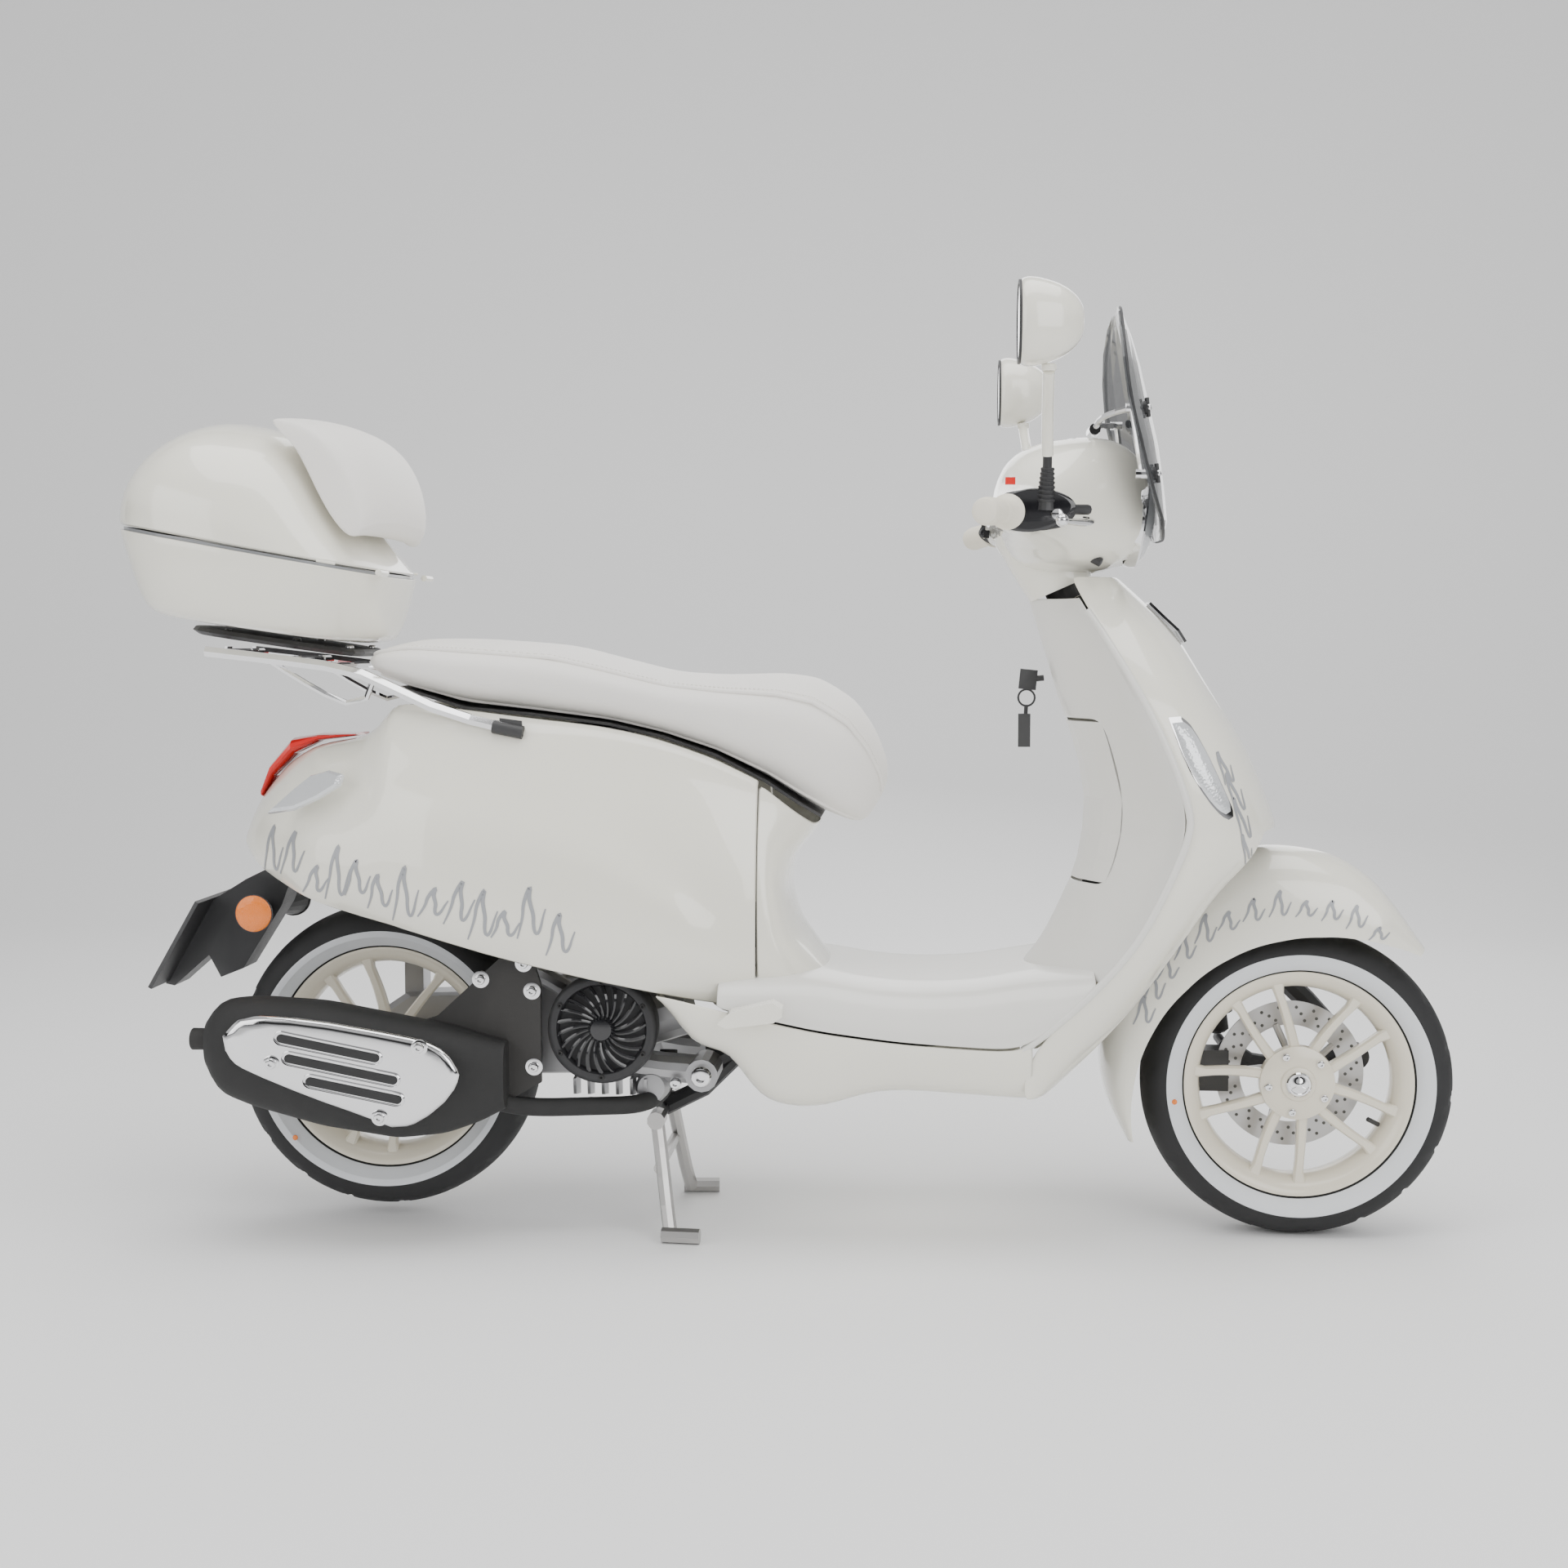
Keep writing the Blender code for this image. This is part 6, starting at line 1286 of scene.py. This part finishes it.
def ribbon(bm, tree, path, width, side, lift=0.0007):
    """A thin printed line laid on the surface nearest to a side view path of (x, z)."""
    pts = smooth([(x, 0.0, z) for x, z in path], max(6, len(path) * 5), 2)
    left, right = [], []
    for k, p in enumerate(pts):
        ahead = (Vector(pts[min(k + 1, len(pts) - 1)]) - Vector(pts[max(k - 1, 0)]))
        if ahead.length < 1e-9:
            continue
        ahead.normalize()
        n = Vector((-ahead.z, 0.0, ahead.x))
        w = width * (0.35 + 0.65 * math.sin(math.pi * (k + 0.5) / len(pts)))
        for sign, store in ((-0.5, left), (0.5, right)):
            q = Vector(p) + n * (w * sign)
            hit = tree.ray_cast(Vector((q.x + SHIFT, side * 0.6, q.z)), Vector((0, -side, 0)))
            store.append(None if hit[0] is None or abs(hit[1].y) < 0.2 else
                         hit[0] - hit[1] * (lift if hit[1].y * side < 0 else -lift))
    row = None
    for a, b in zip(left, right):
        if a is None or b is None:
            row = None
            continue
        here = (bm.verts.new((a.x - SHIFT, a.y, a.z)), bm.verts.new((b.x - SHIFT, b.y, b.z)))
        if row:
            bm.faces.new((row[0], row[1], here[1], here[0]))
        row = here


TONGUE = [(-0.5, 0.0), (-0.42, 0.18), (-0.36, 0.42), (-0.4, 0.62), (-0.34, 0.8), (-0.2, 1.0),
          (-0.22, 0.78), (-0.1, 0.62), (0.06, 0.44), (0.1, 0.26), (0.18, 0.12), (0.3, 0.08),
          (0.4, 0.2), (0.44, 0.4), (0.5, 0.56)]


def tongues(bm, tree, spots, side, width):
    """A row of generic flame tongues: each spot is (x, z, run, rise, lean)."""
    for x, z, run, rise, lean in spots:
        path = [(x + run * u + lean * v, z + rise * v) for u, v in TONGUE]
        ribbon(bm, tree, path, width, side)


body = surface_of("side_skin_right", "side_skin_left")
rows = []
x = -0.15
k = 0
while x < 0.3:
    t = (x + 0.15) / 0.45
    low = lerp(0.535, 0.44, t) + 0.01 * math.sin(k * 1.9)
    rise = 0.062 + 0.022 * math.sin(k * 2.3 + 0.6)
    rows.append((x, low, 0.036, rise, 0.016 + 0.006 * math.sin(k)))
    x += 0.037 + 0.003 * math.sin(k * 1.3)
    k += 1
for tag, side in SIDES:
    bm = bmesh.new()
    tongues(bm, body, rows, side, 0.0058)
    piece("cowl_tongues_" + tag, bm, "grey", "chassis")

cover = surface_of("fender_skin")
rows = []
for k in range(12):
    t = k / 11
    deg = lerp(158, 66, t)
    r = lerp(0.252, 0.243, t) + 0.012 * math.sin(math.pi * t)
    a = math.radians(deg)
    rows.append((1.365 + r * math.cos(a), 0.2315 + r * math.sin(a) - 0.004, 0.026,
                 lerp(0.044, 0.026, t) + 0.008 * math.sin(k * 2.1), 0.01))
for tag, side in SIDES:
    bm = bmesh.new()
    tongues(bm, cover, rows, side, 0.0046)
    piece("fender_tongues_" + tag, bm, "grey", "steering")

cover = surface_of("apron_skin")
for tag, side in SIDES:
    bm = bmesh.new()
    tongues(bm, cover, [(1.252, 0.64, 0.02, 0.06, -0.02), (1.262, 0.6, 0.018, 0.066, -0.02),
                        (1.236, 0.68, 0.018, 0.048, -0.016), (1.27, 0.56, 0.014, 0.055, -0.016)],
            side, 0.004)
    piece("apron_tongues_" + tag, bm, "grey", "chassis")

# case hinge knuckles, rack feet and nuts, side reflectors
bm = bmesh.new()
for s in (-1.0, 1.0):
    rod(bm, (0.03, s * 0.15, 0.976), (0.03, s * 0.11, 0.976), 0.005, 14)
    rod(bm, (-0.036, s * 0.229, 0.9905), (-0.01, s * 0.227, 0.986), 0.002, 8)
piece("case_hinge", bm, "ivory", "chassis")
bm = bmesh.new()
for s in (-1.0, 1.0):
    rod(bm, (0.196, s * 0.158, 0.756), (0.24, s * 0.158, 0.747), 0.0098, 16)
    loft(bm, [[(x, s * y, z) for x, z in ((0.206, 0.748), (0.24, 0.742), (0.238, 0.764),
                                          (0.206, 0.768))] for y in (0.156, 0.16)])
piece("rack_feet", bm, "black", "chassis")
bm = bmesh.new()
for s in (-1.0, 1.0):
    for x in (-0.225, -0.12, -0.04):
        bolt(bm, (x, s * 0.06, 0.868 - (x + 0.04) * 0.13), (0, 0, 1), 0.006, 0.004)
        turned(bm, (x, s * 0.06, 0.846 - (x + 0.04) * 0.13), (0, 0, -1),
               [(0, 0.0065), (0.006, 0.0065), (0.007, 0.005)], 6)
piece("rack_nuts", bm, "chrome", "chassis")
bm = bmesh.new()
for s in (-1.0, 1.0):
    c = Vector((-0.1822, s * 0.0915, 0.4729))
    turned(bm, c, (0, s, 0), [(0, 0.027), (0.003, 0.0272), (0.0042, 0.0255), (0.005, 0.015),
                              (0.0053, 0.005)], 40)
piece("side_reflectors", bm, "amber", "chassis")
bm = bmesh.new()
for s in (-1.0, 1.0):
    c = Vector((-0.1822, s * 0.09, 0.4729))
    turned(bm, c, (0, s, 0), [(0, 0.0282), (0.0036, 0.0286), (0.004, 0.0272)], 40)
piece("reflector_rims", bm, "black", "chassis")


def lens_patch(bm, tree, outline, side, edge, crown, shrink=1.0):
    """A domed patch over an (x, z) outline, lying on the surface behind it."""
    pts = smooth([(x, 0.0, z) for x, z in outline] + [(outline[0][0], 0.0, outline[0][1])], 41, 1)
    mid = sum((Vector(p) for p in pts[:-1]), Vector()) / 40
    rings = []
    for g in (1.0, 0.985, 0.93, 0.8, 0.6, 0.35, 0.1):
        rise = -0.002 if g == 1.0 else edge + (crown - edge) * math.sqrt(1 - g * g)
        spots = []
        for p in pts[:-1]:
            q = mid + (Vector(p) - mid) * (g * shrink)
            hit = tree.ray_cast(Vector((q.x + SHIFT, side * 0.6, q.z)), Vector((0, -side, 0)))
            n = hit[1] if hit[1].y * side > 0 else -hit[1]
            spots.append(hit[0] + n * rise - Vector((SHIFT, 0, 0)))
        rings.append(ring(bm, spots))
    skin(bm, rings)
    bm.faces.new(rings[-1])


SIGNAL = [(1.15, 0.77), (1.172, 0.772), (1.196, 0.735), (1.222, 0.68), (1.24, 0.64),
          (1.226, 0.634), (1.2, 0.662), (1.172, 0.708)]
for tag, side in SIDES:
    for name, look, edge, crown, shrink in (("bezel", "chrome", 0.0004, 0.001, 1.06),
                                            ("lens", "lens", 0.0012, 0.005, 0.94)):
        bm = bmesh.new()
        lens_patch(bm, cover, SIGNAL, side, edge, crown, shrink)
        piece("front_signal_%s_%s" % (name, tag), bm, look, "chassis",
              ["front_signal_" + tag] if name == "lens" else ())


# ---------------------------------------------------------------- camera, light
def lamp(name, spot, target, size, power, colour=(1.0, 1.0, 1.0), size_y=None):
    data = bpy.data.lights.new(name, "AREA")
    data.shape = "RECTANGLE"
    data.size = size
    data.size_y = size_y or size
    data.energy = power
    data.color = colour
    obj = bpy.data.objects.new(name, data)
    obj.location = spot
    obj.rotation_euler = (Vector(target) - Vector(spot)).to_track_quat("-Z", "Y").to_euler()
    bpy.context.scene.collection.objects.link(obj)
    return obj


MIDDLE = (0.0, 0.0, 0.6)
lamp("overhead_softbox", (0.1, -0.5, 3.3), MIDDLE, 3.4, 78.0, size_y=2.2)
lamp("front_softbox", (2.2, -2.9, 1.9), MIDDLE, 2.2, 52.0)
lamp("rear_softbox", (-2.6, -2.4, 1.6), MIDDLE, 2.2, 32.0)
lamp("far_softbox", (0.4, 3.0, 2.2), MIDDLE, 2.6, 40.0)

world = bpy.data.worlds.new("studio")
bpy.context.scene.world = world
world.use_nodes = True
sky = world.node_tree.nodes["Background"]
sky.inputs["Strength"].default_value = 0.74
where = world.node_tree.nodes.new("ShaderNodeTexCoord")
split = world.node_tree.nodes.new("ShaderNodeSeparateXYZ")
ramp = world.node_tree.nodes.new("ShaderNodeValToRGB")
path = world.node_tree.nodes.new("ShaderNodeLightPath")
blend = world.node_tree.nodes.new("ShaderNodeMix")
blend.data_type = "RGBA"
ramp.color_ramp.elements[0].position = 0.0
ramp.color_ramp.elements[0].color = (0.55, 0.55, 0.56, 1.0)
ramp.color_ramp.elements[1].position = 1.0
ramp.color_ramp.elements[1].color = (1.0, 1.0, 1.0, 1.0)
for spot, shade in ((0.06, 0.05), (0.16, 0.04), (0.22, 0.75), (0.45, 1.0), (0.62, 0.35)):
    stop = ramp.color_ramp.elements.new(spot)
    stop.color = (shade, shade, shade, 1.0)
wire = world.node_tree.links.new
wire(where.outputs["Generated"], split.inputs["Vector"])
wire(split.outputs["Z"], ramp.inputs["Fac"])
wire(path.outputs["Is Glossy Ray"], blend.inputs["Factor"])
blend.inputs["A"].default_value = (1.0, 1.0, 1.0, 1.0)
wire(ramp.outputs["Color"], blend.inputs["B"])
wire(blend.outputs["Result"], sky.inputs["Color"])

paper = bpy.data.materials.new("studio_paper")
paper.use_nodes = True
paint = paper.node_tree.nodes["Principled BSDF"]
paint.inputs["Base Color"].default_value = (0.92, 0.92, 0.92, 1.0)
paint.inputs["Roughness"].default_value = 0.75
bm = bmesh.new()
steps = [(-9.0, 0.0), (3.0, 0.0)]
steps += [(3.0 + 1.5 * math.sin(t), 1.5 - 1.5 * math.cos(t)) for t in np.linspace(0.05, 1.5, 14)]
steps += [(4.5, 6.0)]
grid = [[bm.verts.new((x, y, z)) for x in (-9.0, 9.0)] for y, z in steps]
for a, b in zip(grid[:-1], grid[1:]):
    bm.faces.new((a[0], a[1], b[1], b[0]))
mesh = bpy.data.meshes.new("studio_floor")
bm.to_mesh(mesh)
bm.free()
mesh.polygons.foreach_set("use_smooth", [True] * len(mesh.polygons))
mesh.materials.append(paper)
floor = bpy.data.objects.new("studio_floor", mesh)
bpy.context.scene.collection.objects.link(floor)

eye = bpy.data.cameras.new("camera")
eye.lens = 45.79
eye.sensor_width = 36.0
camera = bpy.data.objects.new("camera", eye)
camera.location = (0.2085, -2.979, 0.877)
camera.rotation_euler = (math.pi / 2 - 0.0712, 0.0, 0.0723)
bpy.context.scene.collection.objects.link(camera)
bpy.context.scene.camera = camera
